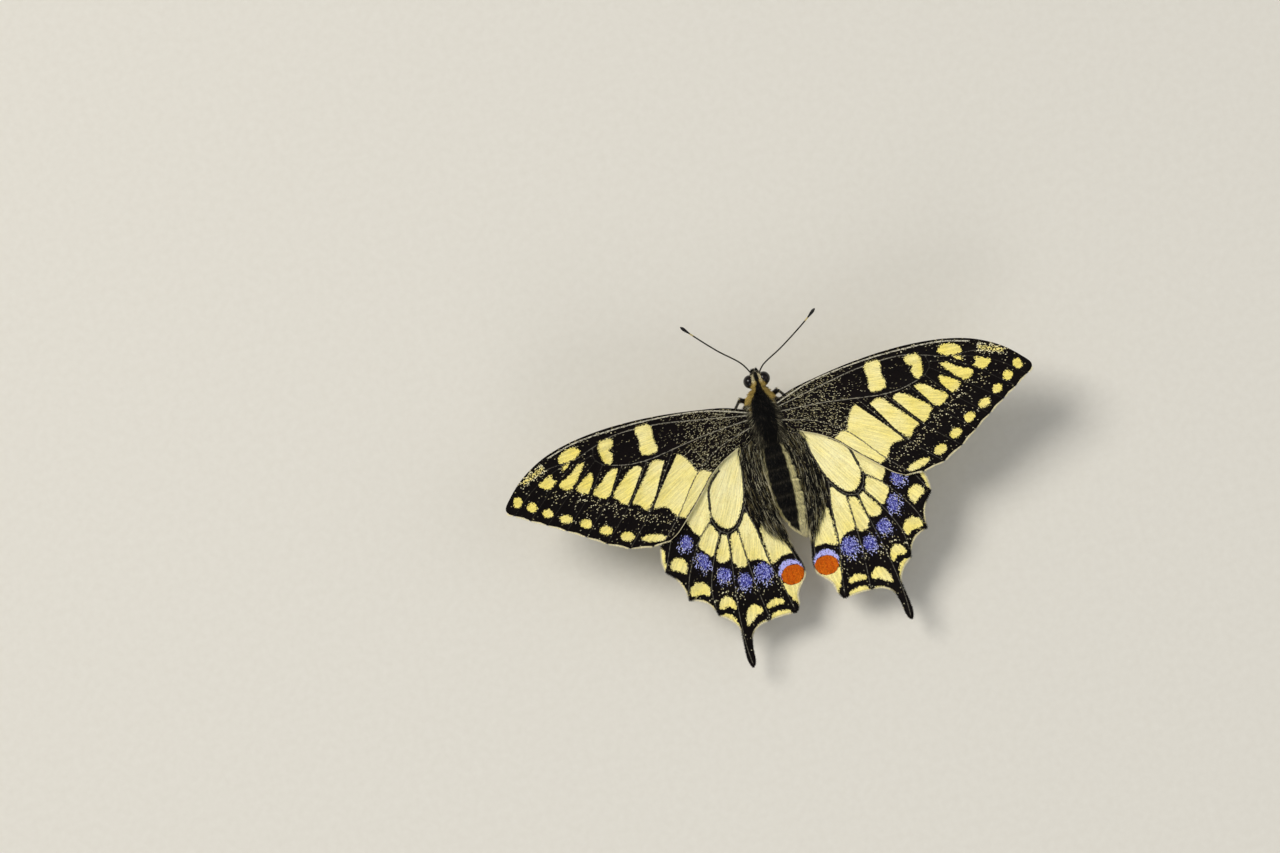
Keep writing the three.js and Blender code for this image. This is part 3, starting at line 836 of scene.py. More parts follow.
wingRim = hornFinish("wing edge", wingPaint["black"], wingPaint["ochre"], 0.5)


def wingHeight(points):
    x, y = points.T
    rise = np.abs(x) * math.tan(math.radians(wing["dihedral"]))
    waves = 0.05 * np.sin(0.5 * np.abs(x) + 0.4 * y) + 0.04 * np.sin(0.9 * y - 0.3 * np.abs(x))
    return rise - wing["camber"] * (y - wing["crest"]) ** 2 + waves


def poseWing(points, sign, kind, pivot=wing["pivot"]):  # from the flat right wing to where it is spread
    flat = turned(points, wing["turn"] * sign, pivot) if kind == "hind" else points
    return flat * np.array([sign, 1])


def wingSurface(points, sign, kind, gap, raised=0.0):  # points over the middle of the membrane
    posed = poseWing(points, sign, kind)
    middle = wingHeight(posed) + wing[kind + "Level"] - wing["sag"] * smoothstep(gap, *wing["sagged"])
    return np.column_stack([posed, middle + raised])


wings = {"fore": (foreEdge, foreNet, foreMarks), "hind": (hindEdge, hindNet, hindMarks)}
wingMargin = 0.01  # round the unwrap


def wingPiece(kind, side):
    _, (flat, triangles, _), marks = wings[kind]
    count = len(flat)
    gap = marks["gap"]
    outward = np.linalg.norm(flat, axis=1)
    thicker = np.exp(-((gap / wing["ribWidth"]) ** 2))
    half = wing["membrane"] / 2 + wing["rib"] * (1.5 - np.clip(outward / 45, 0, 1)) * thicker
    points = np.vstack([wingSurface(flat, mirror[side], kind, gap, up) for up in (half, -half * 0.9)])
    order = triangles if side == "right" else triangles[:, ::-1]
    edges = np.vstack([order[:, [0, 1]], order[:, [1, 2]], order[:, [2, 0]]]).tolist()
    paired = set(map(tuple, edges))
    rim = np.array([edge for edge in edges if (edge[1], edge[0]) not in paired])
    walls = np.column_stack([rim[:, 1], rim[:, 0], rim[:, 0] + count, rim[:, 1] + count])
    faces = order.tolist() + (order[:, ::-1] + count).tolist() + walls.tolist()
    finishes = np.repeat([0, 1, 2], [len(order), len(order), len(walls)]).astype(np.int32)
    fields = {name: np.concatenate([values, values]) for name, values in marks.items()}
    size = flat.max(0) - flat.min(0)
    scale = (1 - 2 * wingMargin) / max(size[0], 2 * size[1] + 1)
    home = (flat - flat.min(0)) * scale + wingMargin
    away = home + (size + 1) * (size == size.min()) * scale  # the underside, beside the upper side
    spots = [home[order], away[order[:, ::-1]], home[walls % count]]
    unwrap = np.vstack([spot.reshape(-1, 2) for spot in spots])
    name = f"{kind}wing_{side}"
    piece = makePiece(name + "_scaled", placed(points), faces, [wingTop, wingUnder, wingRim],
                      kind + "wing", fields, unwrap, finishes)
    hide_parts(name)


for side in mirror:
    for kind in wings:
        wingPiece(kind, side)

print("body skin")
trunk = {
    "profile": [  # half width and Y of the skin from the tail's tip to the brow, inside the coat
        (0, -19.6), (0.66, -19.25), (1.52, -17.9), (2.17, -15.6), (2.46, -12.5), (2.32, -9),
        (1.94, -6), (1.58, -4.7), (1.7, -3.8), (2.05, -2.7), (2.38, -1.2), (2.5, 0.2),
        (2.42, 1.2), (2.12, 2.1), (1.64, 2.95), (1.22, 3.45), (1.12, 3.95), (1.24, 4.6),
        (1.28, 5.2), (1.04, 5.8), (0.6, 6.15), (0, 6.28),
    ],
    "depth": ((-19, -12, -5, -3, 3, 4.5), (0.84, 0.88, 0.96, 1.08, 1.08, 1.05)),  # Y, height over width
    "rings": 260,
    "spokes": 64,
    "voxel": 0.11,
    "abdomen": (-20, -3.2),
    "segments": 8,  # of the abdomen, parted by furrows
    "furrow": 0.07,
}
segmentLength = (trunk["abdomen"][1] - trunk["abdomen"][0]) / trunk["segments"]
palps = {
    "path": [(0.45, 4.7, -1.9), (0.62, 5.35, -2.8), (0.48, 6.1, -2.25), (0.34, 6.7, -1.6)],
    "girths": (0.22, 0.22, 0.19, 0.09),
    "hairs": 900,
    "length": (0.28, 0.5),
    "width": (0.016, 0.028),
    "lift": (15, 40),
    "curl": 0.1,
}


def ringFaces(rings, spokes, flipped=False):  # four-sided faces between rings of points
    ring, spoke = np.meshgrid(np.arange(rings - 1), np.arange(spokes), indexing="ij")
    here, there = ring * spokes + spoke, ring * spokes + (spoke + 1) % spokes
    second, fourth = there, here + spokes
    if flipped:
        second, fourth = fourth, second
    return np.stack([here, second, there + spokes, fourth], axis=-1).reshape(-1, 4).tolist()


def evenTurn(count):  # angles evenly round a circle
    return np.linspace(0, 2 * math.pi, count, endpoint=False)


tubeSides = 12


# A closed round tube along a path: its points, faces, and how far along and round it each point is.
def tube(path, girths):
    ahead = normal(np.gradient(path, axis=0))
    across = normal(np.cross(ahead[0], [0.31, 0.17, 0.93]))
    rings = []
    a = evenTurn(tubeSides)[:, None]
    for point, way, girth in zip(path, ahead, girths):
        across = normal(across - way * (across @ way))
        rings.append(point + girth * (np.cos(a) * across + np.sin(a) * np.cross(way, across)))
    count = len(path)
    points = np.vstack(rings + [path[:1], path[-1:]])
    end = count * tubeSides
    last = end - tubeSides
    faces = ringFaces(count, tubeSides)
    faces += [(end, (i + 1) % tubeSides, i) for i in range(tubeSides)]
    faces += [(end + 1, last + i, last + (i + 1) % tubeSides) for i in range(tubeSides)]
    reach = reachOf(path)
    along = np.concatenate([np.repeat(reach, tubeSides), [0, reach[-1]]])
    turn = np.concatenate([np.tile(a[:, 0], count), [0, 0]])
    return points, faces, along, turn


def joined(parts):  # several nets as one, and how far round each point is
    shift, points, faces, turns = 0, [], [], []
    for part, partFaces, _, turn in parts:
        points.append(part)
        faces += [tuple(i + shift for i in face) for face in partFaces]
        turns.append(turn)
        shift += len(part)
    return np.vstack(points), faces, np.concatenate(turns)


profile = curved(trunk["profile"], 0.04)
profile[:, 0] = np.maximum(profile[:, 0], 0)
profileReach = np.linspace(0, 1, len(profile))


def trunkMiddle(y):
    headward = smoothstep(y, 2.6, 4.2)
    bent = np.maximum(0, body["bendFrom"] - y)
    hung = np.maximum(0, body["dropFrom"] - y)
    x = body["thoraxX"] + (body["headX"] - body["thoraxX"]) * headward + body["bend"] * bent**2
    z = body["level"] + (body["headLevel"] - body["level"]) * headward - body["drop"] * hung**2
    return x, z


def onTrunk(s, angle):  # s runs from the tail to the brow, the angle from the back to the right
    girth = np.interp(s, profileReach, profile[:, 0])
    y = np.interp(s, profileReach, profile[:, 1])
    rings = np.cos(y / segmentLength * math.pi) ** 2
    girth = girth * (1 - trunk["furrow"] * rings**6 * (1 - smoothstep(y, -5.2, -4.4)))
    deep = np.interp(y, *trunk["depth"])
    x, z = trunkMiddle(y)
    return np.stack([x + girth * np.sin(angle), y, z + girth * deep * np.cos(angle)], axis=-1)


def trunkNormal(s, angle):
    nudge = {"s": 0.002, "angle": 0.02}
    back = np.clip(s - nudge["s"], 0.001, 0.999)
    front = np.clip(s + nudge["s"], 0.001, 0.999)
    ahead = onTrunk(front, angle) - onTrunk(back, angle)
    around = onTrunk(s, angle + nudge["angle"]) - onTrunk(s, angle - nudge["angle"])
    return normal(np.cross(around, ahead))


def trunkPlace(points):  # the reverse of onTrunk, for any points near it
    s = np.interp(points[:, 1], profile[:, 1], profileReach)
    x, z = trunkMiddle(points[:, 1])
    return s, np.arctan2(points[:, 0] - x, points[:, 2] - z)


def palpPath(sign):
    return curved([(body["headX"] + sign * x, y, z) for x, y, z in palps["path"]])


def palpGirth(at):  # from 0 at the root to 3 at the tip
    return np.interp(at, range(len(palps["girths"])), palps["girths"])


backStripe = {  # the black of the abdomen's back: middle and half width in degrees, tail to waist
    "y": (-18.6, -17.6, -15.5, -12.5, -9, -5),
    "middle": (-38, -37, -29, -20, -13, -7),
    "half": (0, 22, 37, 43, 46, 47),
}
flankLines = {"at": (108, 152), "soft": (3, 8)}  # dark lines along the flanks, in degrees from the back
collarStripes = [  # ochre hair from the head to the wing roots
    [(0.1, 4.6), (-0.45, 3.7), (-1.1, 2.9), (-1.6, 1.9), (-1.95, 0.4)],
    [(1.3, 4.8), (1.55, 3.7), (1.95, 2.8), (2.4, 1.8), (2.75, 0.4)],
]


# How far the coat is ochre, cream, grey or the flanks' olive rather than black, at points on the body.
def bodyMarks(points):
    x, y = points[:, :2].T
    _, angle = trunkPlace(points)
    angle = np.degrees(angle)
    fromStripe = np.abs(angle - np.interp(y, backStripe["y"], backStripe["middle"]))
    fromStripe = np.minimum(fromStripe, 360 - fromStripe)
    half = np.interp(y, backStripe["y"], backStripe["half"])
    tail = 1 - smoothstep(y, -4.6, -3.6)
    off = [np.abs(np.abs(angle) - middle) for middle in flankLines["at"]]
    lines = np.max([1 - smoothstep(far, *flankLines["soft"]) for far in off], axis=0)
    flank = smoothstep(fromStripe, half - 3, half + 5) * (1 - 0.9 * lines) * tail
    collar = np.min([nearLine(points[:, :2], curved(line, 0.3))[0] for line in collarStripes], axis=0)
    upper = 1 - smoothstep(np.abs(angle), 96, 112)
    stripe = (1 - smoothstep(collar, 0.3, 0.46)) * upper
    beside = np.abs(np.abs(x - body["headX"]) - 0.6)
    face = (1 - smoothstep(beside, 0.16, 0.32)) * smoothstep(y, 4.3, 4.8) * (1 - smoothstep(y, 5.9, 6.2))
    belly = smoothstep(np.abs(angle), 118, 132) * (1 - tail) * (1 - 0.8 * lines)
    rear = smoothstep(-y, -0.6, 1.6) * (1 - tail) * smoothstep(np.abs(angle), 38, 60) * upper
    # painted highlight: a little grey along the edge of each abdominal segment, for the gloss there
    segmentHighlight = np.cos(y / segmentLength * math.pi) ** 16 * tail
    cream = face * upper * 0.6 + flank * 0.5 * smoothstep(-y, 15.5, 19) + belly * 0.5
    return {
        "ochre": np.clip(stripe + face * upper * 0.5 + belly * 0.3, 0, 1),
        "cream": np.clip(cream, 0, 1),
        "olive": flank,
        # grey: real grey hair on the thorax's rear, plus the painted highlight on the segment edges
        "grey": np.clip(rear * 0.85 + segmentHighlight * 0.12, 0, 1),
    }


coatPaint = {
    "black": paint(9, 8, 8),
    "ochre": paint(200, 172, 94),
    "cream": paint(252, 243, 202),
    "olive": paint(240, 230, 172),
    "grey": paint(120, 112, 90),
}


def coatFinish(name, roughness):
    r = Recipe(name)
    colour = r.blend(coatPaint["black"], coatPaint["grey"], r.field("grey"))
    colour = r.blend(colour, coatPaint["olive"], r.field("olive"))
    colour = r.blend(colour, coatPaint["ochre"], r.field("ochre"))
    colour = r.blend(colour, coatPaint["cream"], r.field("cream"))
    grain = r.noise(r.node("TexCoord", outlet="Object"), 9000, 3)
    colour = r.shade(colour, r.field("shade") * (0.8 + grain * 0.4))
    return r.finish({
        "Base Color": colour,
        "Roughness": roughness + grain * 0.15,
        "Specular IOR Level": 0.17,
        "Normal": r.bump(grain, 0.00003, 0.5),
    })


skinFinish = coatFinish("skin under the coat", 0.7)
hairFinish = coatFinish("body hair", 0.45)
paintedSkinShade = 0.5  # brightness of the skin between the tufts, beside theirs: darker, as painted shade under the coat


def bodySkin():
    s, a = np.meshgrid(np.linspace(0, 1, trunk["rings"]), evenTurn(trunk["spokes"]), indexing="ij")
    shell = onTrunk(s, a).reshape(-1, 3)
    parts = [(shell, ringFaces(*s.shape, flipped=True), None, np.zeros(len(shell)))]
    for sign in mirror.values():
        spine = palpPath(sign)
        parts.append(tube(spine, palpGirth(np.linspace(0, 3, len(spine)))))
    points, faces, _ = joined(parts)
    holder = added("rough skin", netOf("rough skin", points.tolist(), faces))
    remesh = holder.modifiers.new("one skin", "REMESH")
    remesh.mode = "VOXEL"
    remesh.voxel_size = trunk["voxel"]
    whole = bpy.data.meshes.new_from_object(holder.evaluated_get(bpy.context.evaluated_depsgraph_get()))
    bpy.data.objects.remove(holder)
    corners = np.empty(len(whole.vertices) * 3)
    whole.vertices.foreach_get("co", corners)
    corners = corners.reshape(-1, 3)
    quads = [tuple(face.vertices) for face in whole.polygons]
    bpy.data.meshes.remove(whole)
    s, angle = trunkPlace(corners)
    fields = bodyMarks(corners)
    # painted shade: the skin's marks are darkened where it lies under the coat
    fields["shade"] = np.full(len(corners), paintedSkinShade)
    loops = np.concatenate([np.array(face) for face in quads])
    owner = np.repeat(np.arange(len(quads)), [len(face) for face in quads])
    turn = angle[loops]
    high = np.full(len(quads), -math.inf)
    np.maximum.at(high, owner, turn)
    turn = np.where(high[owner] - turn > math.pi, turn + 2 * math.pi, turn)  # no face spans the seam
    unwrap = trunkHome(s[loops], turn)
    piece = makePiece("body_skin", placed(corners), quads, [skinFinish], "body_coat", fields, unwrap)
    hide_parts("head", "thorax", "abdomen", "palp_left", "palp_right")


def trunkHome(s, angle):  # places in the unwrap
    return np.stack([0.02 + 0.82 * (angle + math.pi) / (2 * math.pi), 0.02 + 0.84 * s], axis=1)


bodySkin()

print("coat")
tuft = {
    "depth": 0.05,  # of its foot under the skin
    "waist": 0.8,  # share of its width that is left halfway
    "thick": 0.6,  # thickness over width
    "paintedShadeAlong": (0.72, 1, 1.25),  # brightness at its foot, halfway and at its tip: painted shade darkens the foot down in the coat, and the tip is lighter
    "patch": 0.0015,  # half the width of its patch in the unwrap
}
tuftCorners = 7
tints = ("ochre", "cream", "olive", "grey", "shade")


# Tapered three-sided tufts. Each grows from its root along its lie, raised by lift and curled down.
def tufts(name, roots, up, lie, length, width, lift, curl, fields, home, slot, toModel=placed):
    count = len(roots)
    along = normal(lie - up * np.sum(lie * up, axis=1, keepdims=True))
    side = np.cross(up, along)
    length, width = length[:, None], width[:, None]
    way = along * np.cos(lift)[:, None] + up * np.sin(lift)[:, None]
    foot = roots - up * tuft["depth"]
    middle = roots + way * length * 0.5 - up * curl * length * 0.25
    tip = roots + way * length - up * curl * length
    corners = []
    for centre, girth in ((foot, width), (middle, width * tuft["waist"])):
        corners += [centre + side * girth, centre + up * girth * tuft["thick"], centre - side * girth]
    points = np.stack(corners + [tip], axis=1).reshape(-1, 3)
    base = (np.arange(count) * tuftCorners)[:, None]
    quads = np.vstack([base + row for row in ([0, 1, 4, 3], [1, 2, 5, 4], [2, 0, 3, 5])])
    ends = np.vstack([base + row for row in ([3, 4, 6], [4, 5, 6], [5, 3, 6])])
    star = np.array([[-1, -0.9], [0, 1], [1, -0.9], [-0.5, -0.4], [0, 0.45], [0.5, -0.4], [0, 0]])
    spots = (home[:, None, :] + star[None] * tuft["patch"]).reshape(-1, 2)
    unwrap = np.vstack([spots[quads.ravel()], spots[ends.ravel()]])
    zero = np.zeros(count)
    shares = {tint: np.repeat(fields.get(tint, zero), tuftCorners) for tint in tints}
    # painted shade: each tuft is darker towards its foot and lighter towards its tip
    shares["shade"] = shares["shade"] * np.tile(np.repeat(tuft["paintedShadeAlong"], (3, 3, 1)), count)
    faces = quads.tolist() + ends.tolist()
    makePiece(name, toModel(points), faces, [hairFinish], slot, shares, unwrap)


def trunkRoots(count, low, high):  # evenly spread over the skin between two places along the body
    s = np.linspace(0, 1, 2000)
    y = np.interp(s, profileReach, profile[:, 1])
    weight = (np.interp(s, profileReach, profile[:, 0]) + 0.03) * ((y > low) & (y < high))
    s = np.interp(chance.random(count), np.cumsum(weight) / weight.sum(), s)
    return s, chance.uniform(-math.pi, math.pi, count)


def insideEyes(points):
    hidden = np.zeros(len(points), bool)
    for sign in mirror.values():
        off = (points - [body["headX"] + sign * eye["x"], eye["y"], eye["z"]]) / np.array(eye["radii"])
        hidden |= np.linalg.norm(off, axis=1) < 1.02
    return hidden


fur = {
    "thorax": {"count": 12000, "from": -4.3, "to": 3.3, "length": (0.7, 1.1), "width": 0.034,
               "lift": (16, 32), "curl": 0.16},
    "abdomen": {"count": 20000, "from": -19.6, "to": -4.1, "length": (0.45, 0.8), "width": 0.034,
                "lift": (10, 26), "curl": 0.06},
    "head": {"count": 6500, "from": 3.2, "to": 6.3, "length": (0.3, 0.55), "width": 0.022,
             "lift": (25, 55), "curl": 0.2},
}


def trunkCoat(kind):
    look = fur[kind]
    s, angle = trunkRoots(look["count"], look["from"], look["to"])
    roots = onTrunk(s, angle)
    kept = ~insideEyes(roots)
    s, angle, roots = s[kept], angle[kept], roots[kept]
    up = trunkNormal(s, angle)
    count = len(roots)
    sway = chance.normal(0, 0.22, count)
    if kind == "head":
        ahead = np.where(roots[:, 1] > 3.9, 1.0, -0.6)
        lie = np.stack([0.35 * np.sin(angle) + sway, ahead, 0.25 + 0 * sway], axis=1)
    else:
        outward = 0.3 if kind == "thorax" else 0.05
        lie = np.stack([outward * np.sin(angle) + sway, -1 + 0 * sway, 0 * sway], axis=1)
    fields = bodyMarks(roots + up * 0.2)
    fields["shade"] = chance.uniform(0.55, 1.35, count)
    fields["grey"] = np.maximum(fields["grey"], 0.4 * (chance.random(count) > 0.94))
    length = chance.uniform(*look["length"], count)
    lift = np.radians(chance.uniform(*look["lift"], count))
    if kind == "thorax":
        length *= 1 + 0.4 * smoothstep(-roots[:, 1], 1, 3.5)
        collar = fields["ochre"] * smoothstep(3.4 - roots[:, 1], 0, 1)
        length *= 1 + 0.1 * collar
        lift += 0.12 * collar
        lie[:, 0] += 0.2 * collar * np.sin(angle)
    if kind == "head":
        neck = 1 - smoothstep(np.abs(roots[:, 1] - 3.5), 0.3, 0.9)
        length *= 1 + 0.7 * neck
        lift += 0.2 * neck
    width = look["width"] * chance.uniform(0.7, 1.2, count)
    home = trunkHome(s, angle)
    slot = "abdomen_coat" if kind == "abdomen" else "body_coat"
    tufts(kind + "_coat", roots, up, lie, length, width, lift, look["curl"], fields, home, slot)


for kind in fur:
    trunkCoat(kind)


def palpCoat(side, sign):
    spine = palpPath(sign)
    last = len(spine) - 1
    count = palps["hairs"]
    at = chance.uniform(0.15, 1, count) * last
    centre = between(at, range(len(spine)), spine)
    way = normal(between(at, range(len(spine)), normal(np.gradient(spine, axis=0))))
    out = normal(np.cross(way, chance.normal(size=(count, 3))))
    roots = centre + out * palpGirth(at / last * 3)[:, None] * 0.95
    at = at / len(spine)
    pale = smoothstep(-out[:, 2], -0.1, 0.4) * (1 - smoothstep(at, 0.6, 0.85))
    fields = {"ochre": pale * 0.4, "cream": pale * 0.7, "shade": chance.uniform(0.7, 1.3, count)}
    home = np.stack([0.87 + 0.1 * at, 0.3 + 0.1 * sign + 0.06 * out[:, 0]], axis=1)
    tufts("palp_coat_" + side, roots, out, way, chance.uniform(*palps["length"], count),
          chance.uniform(*palps["width"], count), np.radians(chance.uniform(*palps["lift"], count)),
          palps["curl"], fields, home, "body_coat")


for side, sign in mirror.items():
    palpCoat(side, sign)

shoulder = {  # long hair from the rear of the thorax over the wing roots
    "count": 3400,
    "from": -4.2,
    "to": 2.1,
    "angles": (34, 84),
    "length": (0.9, 1.6),
    "width": (0.014, 0.028),
    "curl": 0.1,
}


def shoulderHair(side, sign):
    count = shoulder["count"]
    s, _ = trunkRoots(count, shoulder["from"], shoulder["to"])
    angle = sign * np.radians(chance.uniform(*shoulder["angles"], count))
    roots = onTrunk(s, angle)
    up = trunkNormal(s, angle)
    sway = chance.normal(0, 0.3, count)
    ahead = smoothstep(roots[:, 1], -3.5, 2.0)
    low = smoothstep(np.abs(angle), math.radians(50), math.radians(84))
    rise = 0.05 + 0.25 * low  # the low ones turn up, so that all lie over the wings
    way = normal(np.stack([sign * (0.45 + 0.8 * ahead) + sway, -1 + 0.5 * ahead, rise], axis=1))
    tone = chance.random(count)
    fields = {
        "ochre": 0.6 * (tone > 0.96), "cream": 0.8 * (tone > 0.92),
        "grey": 0.8 * smoothstep(tone, 0.3, 0.9), "shade": chance.uniform(0.5, 1.3, count),
    }
    home = trunkHome(s, angle)
    length = chance.uniform(*shoulder["length"], count) * (1.5 - 0.5 * ahead)
    lift = np.arcsin(np.clip(np.sum(way * up, axis=1), -0.1, 0.95))
    tufts("shoulder_hair_" + side, roots, up, way, length, chance.uniform(*shoulder["width"], count),
          lift, shoulder["curl"], fields, home, "body_coat")


for side, sign in mirror.items():
    shoulderHair(side, sign)

print("wing hair and fringe")
wingUnwrap = {"corner": (0, -37), "side": 45, "margin": 0.03}


# Tufts that lie along a wing, with roots and ways given on the flat right wing.
def wingTufts(kind, name, side, flat, way, gap, raised, length, width, lift, curl, fields):
    sign = mirror[side]
    roots = wingSurface(flat, sign, kind, gap, raised)
    up = np.tile([0, 0, 1.0], (len(flat), 1))
    lie = np.column_stack([poseWing(way, sign, kind, (0, 0)), np.zeros(len(flat))])
    margin = wingUnwrap["margin"]
    home = margin + (1 - 2 * margin) * (flat - wingUnwrap["corner"]) / wingUnwrap["side"]
    tufts(f"{kind}wing_{name}_{side}", roots, up, lie, length, width, lift, curl, fields, home,
          kind + "wing")


wingHairLook = {
    "hind": {
        "region": [(1.7, -3.2), (4.7, -3.4), (5.4, -8), (6.2, -11.5), (5.7, -14.8), (4.0, -17.6),
                   (2.2, -19.4), (2.1, -12)],
        "count": 2200, "length": (0.9, 2.6), "width": (0.014, 0.03), "stray": 0.1,
    },
    "fore": {
        "region": [(1.6, 0.8), (6.5, 1.6), (7.5, -0.4), (6.5, -2.6), (1.8, -2.2)],
        "count": 500, "length": (0.8, 1.8), "width": (0.01, 0.02), "stray": 0.8,
    },
}


def wingHair(kind, side):
    look = wingHairLook[kind]
    region = curved(look["region"], 0.3, closed=True)
    loose = chance.uniform(region.min(0), region.max(0), (look["count"] * 3, 2))
    flat = loose[within(loose, region)][:look["count"]]
    count = len(flat)
    if kind == "hind":
        across = 0.1 - 0.035 * (-flat[:, 1] - 6) + chance.normal(0, 0.12, count)
        way = np.stack([across, -np.ones(count)], axis=1)
    else:
        way = flat - np.array([-1.5, 0.6]) + chance.normal(0, 0.9, (count, 2))
    gap, _ = nearVein(flat, wings[kind][1][2])
    tone = chance.random(count)
    fields = {
        "ochre": 0.3 * (tone > 0.84), "cream": 0.9 * (tone > 0.92), "olive": 0.3 * (tone > 0.84),
        "grey": 0.15 * smoothstep(tone, 0.5, 0.9), "shade": chance.uniform(0.5, 1.3, count),
    }
    length = chance.uniform(*look["length"], count) * (1 + look["stray"] * (tone > 0.92))
    wingTufts(kind, "hair", side, flat, way, gap, wing["membrane"] / 2, length,
              chance.uniform(*look["width"], count), np.radians(chance.uniform(3, 9, count)), 0.07, fields)


fringeLook = {
    "spacing": 0.06,
    "overlap": 0.05,  # its roots lie this far over the membrane
    "from": {"fore": -4.2, "hind": -14.5},  # it grows behind this Y, and on the hindwing's inner edge
    "length": (0.28, 0.4),
    "under": 0.35,  # share of its length where the forewing lies on the hindwing
    "atVeins": 0.45,  # and at the forewing's vein ends, so that no dark spikes show
    "width": 0.04,
}


def fringe(kind, side):  # a row of small scales round the outer margin
    look = fringeLook
    edge, net, marks = wings[kind]
    rim = spaced(edge, look["spacing"])[:-1]
    outward = outwardOf(rim)
    inner = (rim[:, 0] < 2.6) & (rim[:, 1] < -4.5) & (kind == "hind")
    outer = inner | (rim[:, 1] < look["from"][kind])
    rim, outward, inner = rim[outer], outward[outer], inner[outer]
    flat = rim - outward * (wing["fringe"] + look["overlap"])
    count = len(flat)
    if kind == "fore":
        ends = np.array(foreVeinEnds)
        far = np.min(np.linalg.norm(rim[:, None] - ends[None, :-1], axis=2), axis=1)
        pale = smoothstep(far, 0.15, 0.35)
    else:
        nearest = [np.argmin(np.sum((net[0] - point) ** 2, axis=1)) for point in flat]
        pale = smoothstep(marks["pale"][nearest], -0.35, 0.05)
        pale = np.maximum(pale, inner * (1 - smoothstep(-rim[:, 1], 19, 21)))
    way = outward + chance.normal(0, 0.16, (count, 2))
    fields = {
        "ochre": 0.6 * pale, "cream": pale * chance.uniform(0.6, 0.9, count), "olive": pale,
        "shade": chance.uniform(0.85, 1.2, count),
    }
    length = chance.uniform(*look["length"], count)
    if kind == "fore":
        length = length * np.where(rim[:, 0] < foreHind[0][0], look["under"], 1)
        length *= look["atVeins"] + (1 - look["atVeins"]) * pale
    wingTufts(kind, "fringe", side, flat, way, np.full(count, 0.4), 0.0, length,
              np.full(count, look["width"]), np.zeros(count), 0, fields)


for side in mirror:
    for kind in wings:
        wingHair(kind, side)
        fringe(kind, side)

print("eyes, antennae, proboscis and legs")


def eyeFinish():
    r = Recipe("dark eye")
    where = r.node("TexCoord", outlet="Object")
    mottle = r.noise(where, 2600, 3)
    facets = r.node("TexVoronoi", None, {"Vector": where, "Scale": 26000.0}, "Distance")
    tone = r.blend(paint(8, 6, 6), paint(34, 19, 14), r.step(mottle, 0.45, 0.75))
    return r.finish({
        "Base Color": tone,
        "Roughness": 0.12 + mottle * 0.1,
        "Specular IOR Level": 0.28,
        "Normal": r.bump(facets, 0.000004, 0.4),
    })


eyeNet = {"rings": 33, "spokes": 48}


def eyePiece(side, sign):
    tall = np.linspace(0, math.pi, eyeNet["rings"])
    t, a = np.meshgrid(tall, evenTurn(eyeNet["spokes"]), indexing="ij")
    ball = np.stack([np.cos(t), np.sin(t) * np.cos(a), np.sin(t) * np.sin(a)], axis=-1)
    points = ball.reshape(-1, 3) * np.array(eye["radii"])
    points = points + [body["headX"] + sign * eye["x"], eye["y"], eye["z"]]
    faces = ringFaces(*t.shape, flipped=True)
    piece = makePiece("eye_dome_" + side, placed(points), faces, [darkEye], "eye")
    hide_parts("eye_" + side)


antenna = {
    "left": [(0.3, 6.0, -0.3), (-0.9, 8.1, 0.6), (-4, 11, 2.0), (-7.5, 14.8, 3.4), (-8.4, 15.9, 3.9)],
    "right": [(1.15, 5.9, -0.3), (2.2, 7.1, 0.4), (5.5, 8.9, 1.6), (9.9, 11.7, 3.2), (11.9, 13.2, 3.9)],
    "step": 0.045,
    "shaft": 0.115,
    "club": 0.25,
    "clubLength": 1.9,
    "clubRise": 1.2,
    "tip": 0.45,  # length of its rounded end
    "ringLength": 0.36,
    "ringDepth": 0.1,
    "socket": 0.1,  # how much wider it is in its socket
    "band": (1.7, 1.9, 2.3, 2.6),  # pale below the club, between these distances from the tip
}


def antennaPiece(side):
    look = antenna
    path = curved(look[side], look["step"])
    reach = np.arange(len(path)) * look["step"]
    left = reach[-1] - reach
    swell = smoothstep(look["clubLength"] - left, 0, look["clubRise"])
    girth = look["shaft"] + (look["club"] - look["shaft"]) * swell
    girth = girth * (1 + look["ringDepth"] * (reach / look["ringLength"] % 1 - 0.5))
    girth = girth + look["socket"] * (1 - smoothstep(reach, 0.3, 0.5))
    girth = girth * np.sqrt(np.clip(left / look["tip"], 0.02, 1))
    points, faces, along, _ = tube(path, girth)
    fromTip = reach[-1] - along
    band = smoothstep(fromTip, *look["band"][:2]) * (1 - smoothstep(fromTip, *look["band"][2:]))
    bars = 0.08 * ((along / look["ringLength"] % 1) < 0.25)
    fields = {"pale": np.clip(0.75 * band + bars * (1 - smoothstep(along, 9, 12)), 0, 1)}
    piece = makePiece("antenna_rings_" + side, placed(points), faces, [feelerFinish], "antenna", fields)
    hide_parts("antenna_" + side)


coil = {
    "y": 5.6,
    "z": -3.95,
    "outer": 1.42,
    "inner": 0.25,
    "turns": 2.4,
    "points": 220,
    "girths": (0.15, 0.06),
    "stem": ((-0.35, -1.9), (-0.2, -2.25)),  # Y from the coil's middle, and Z, of its points
}


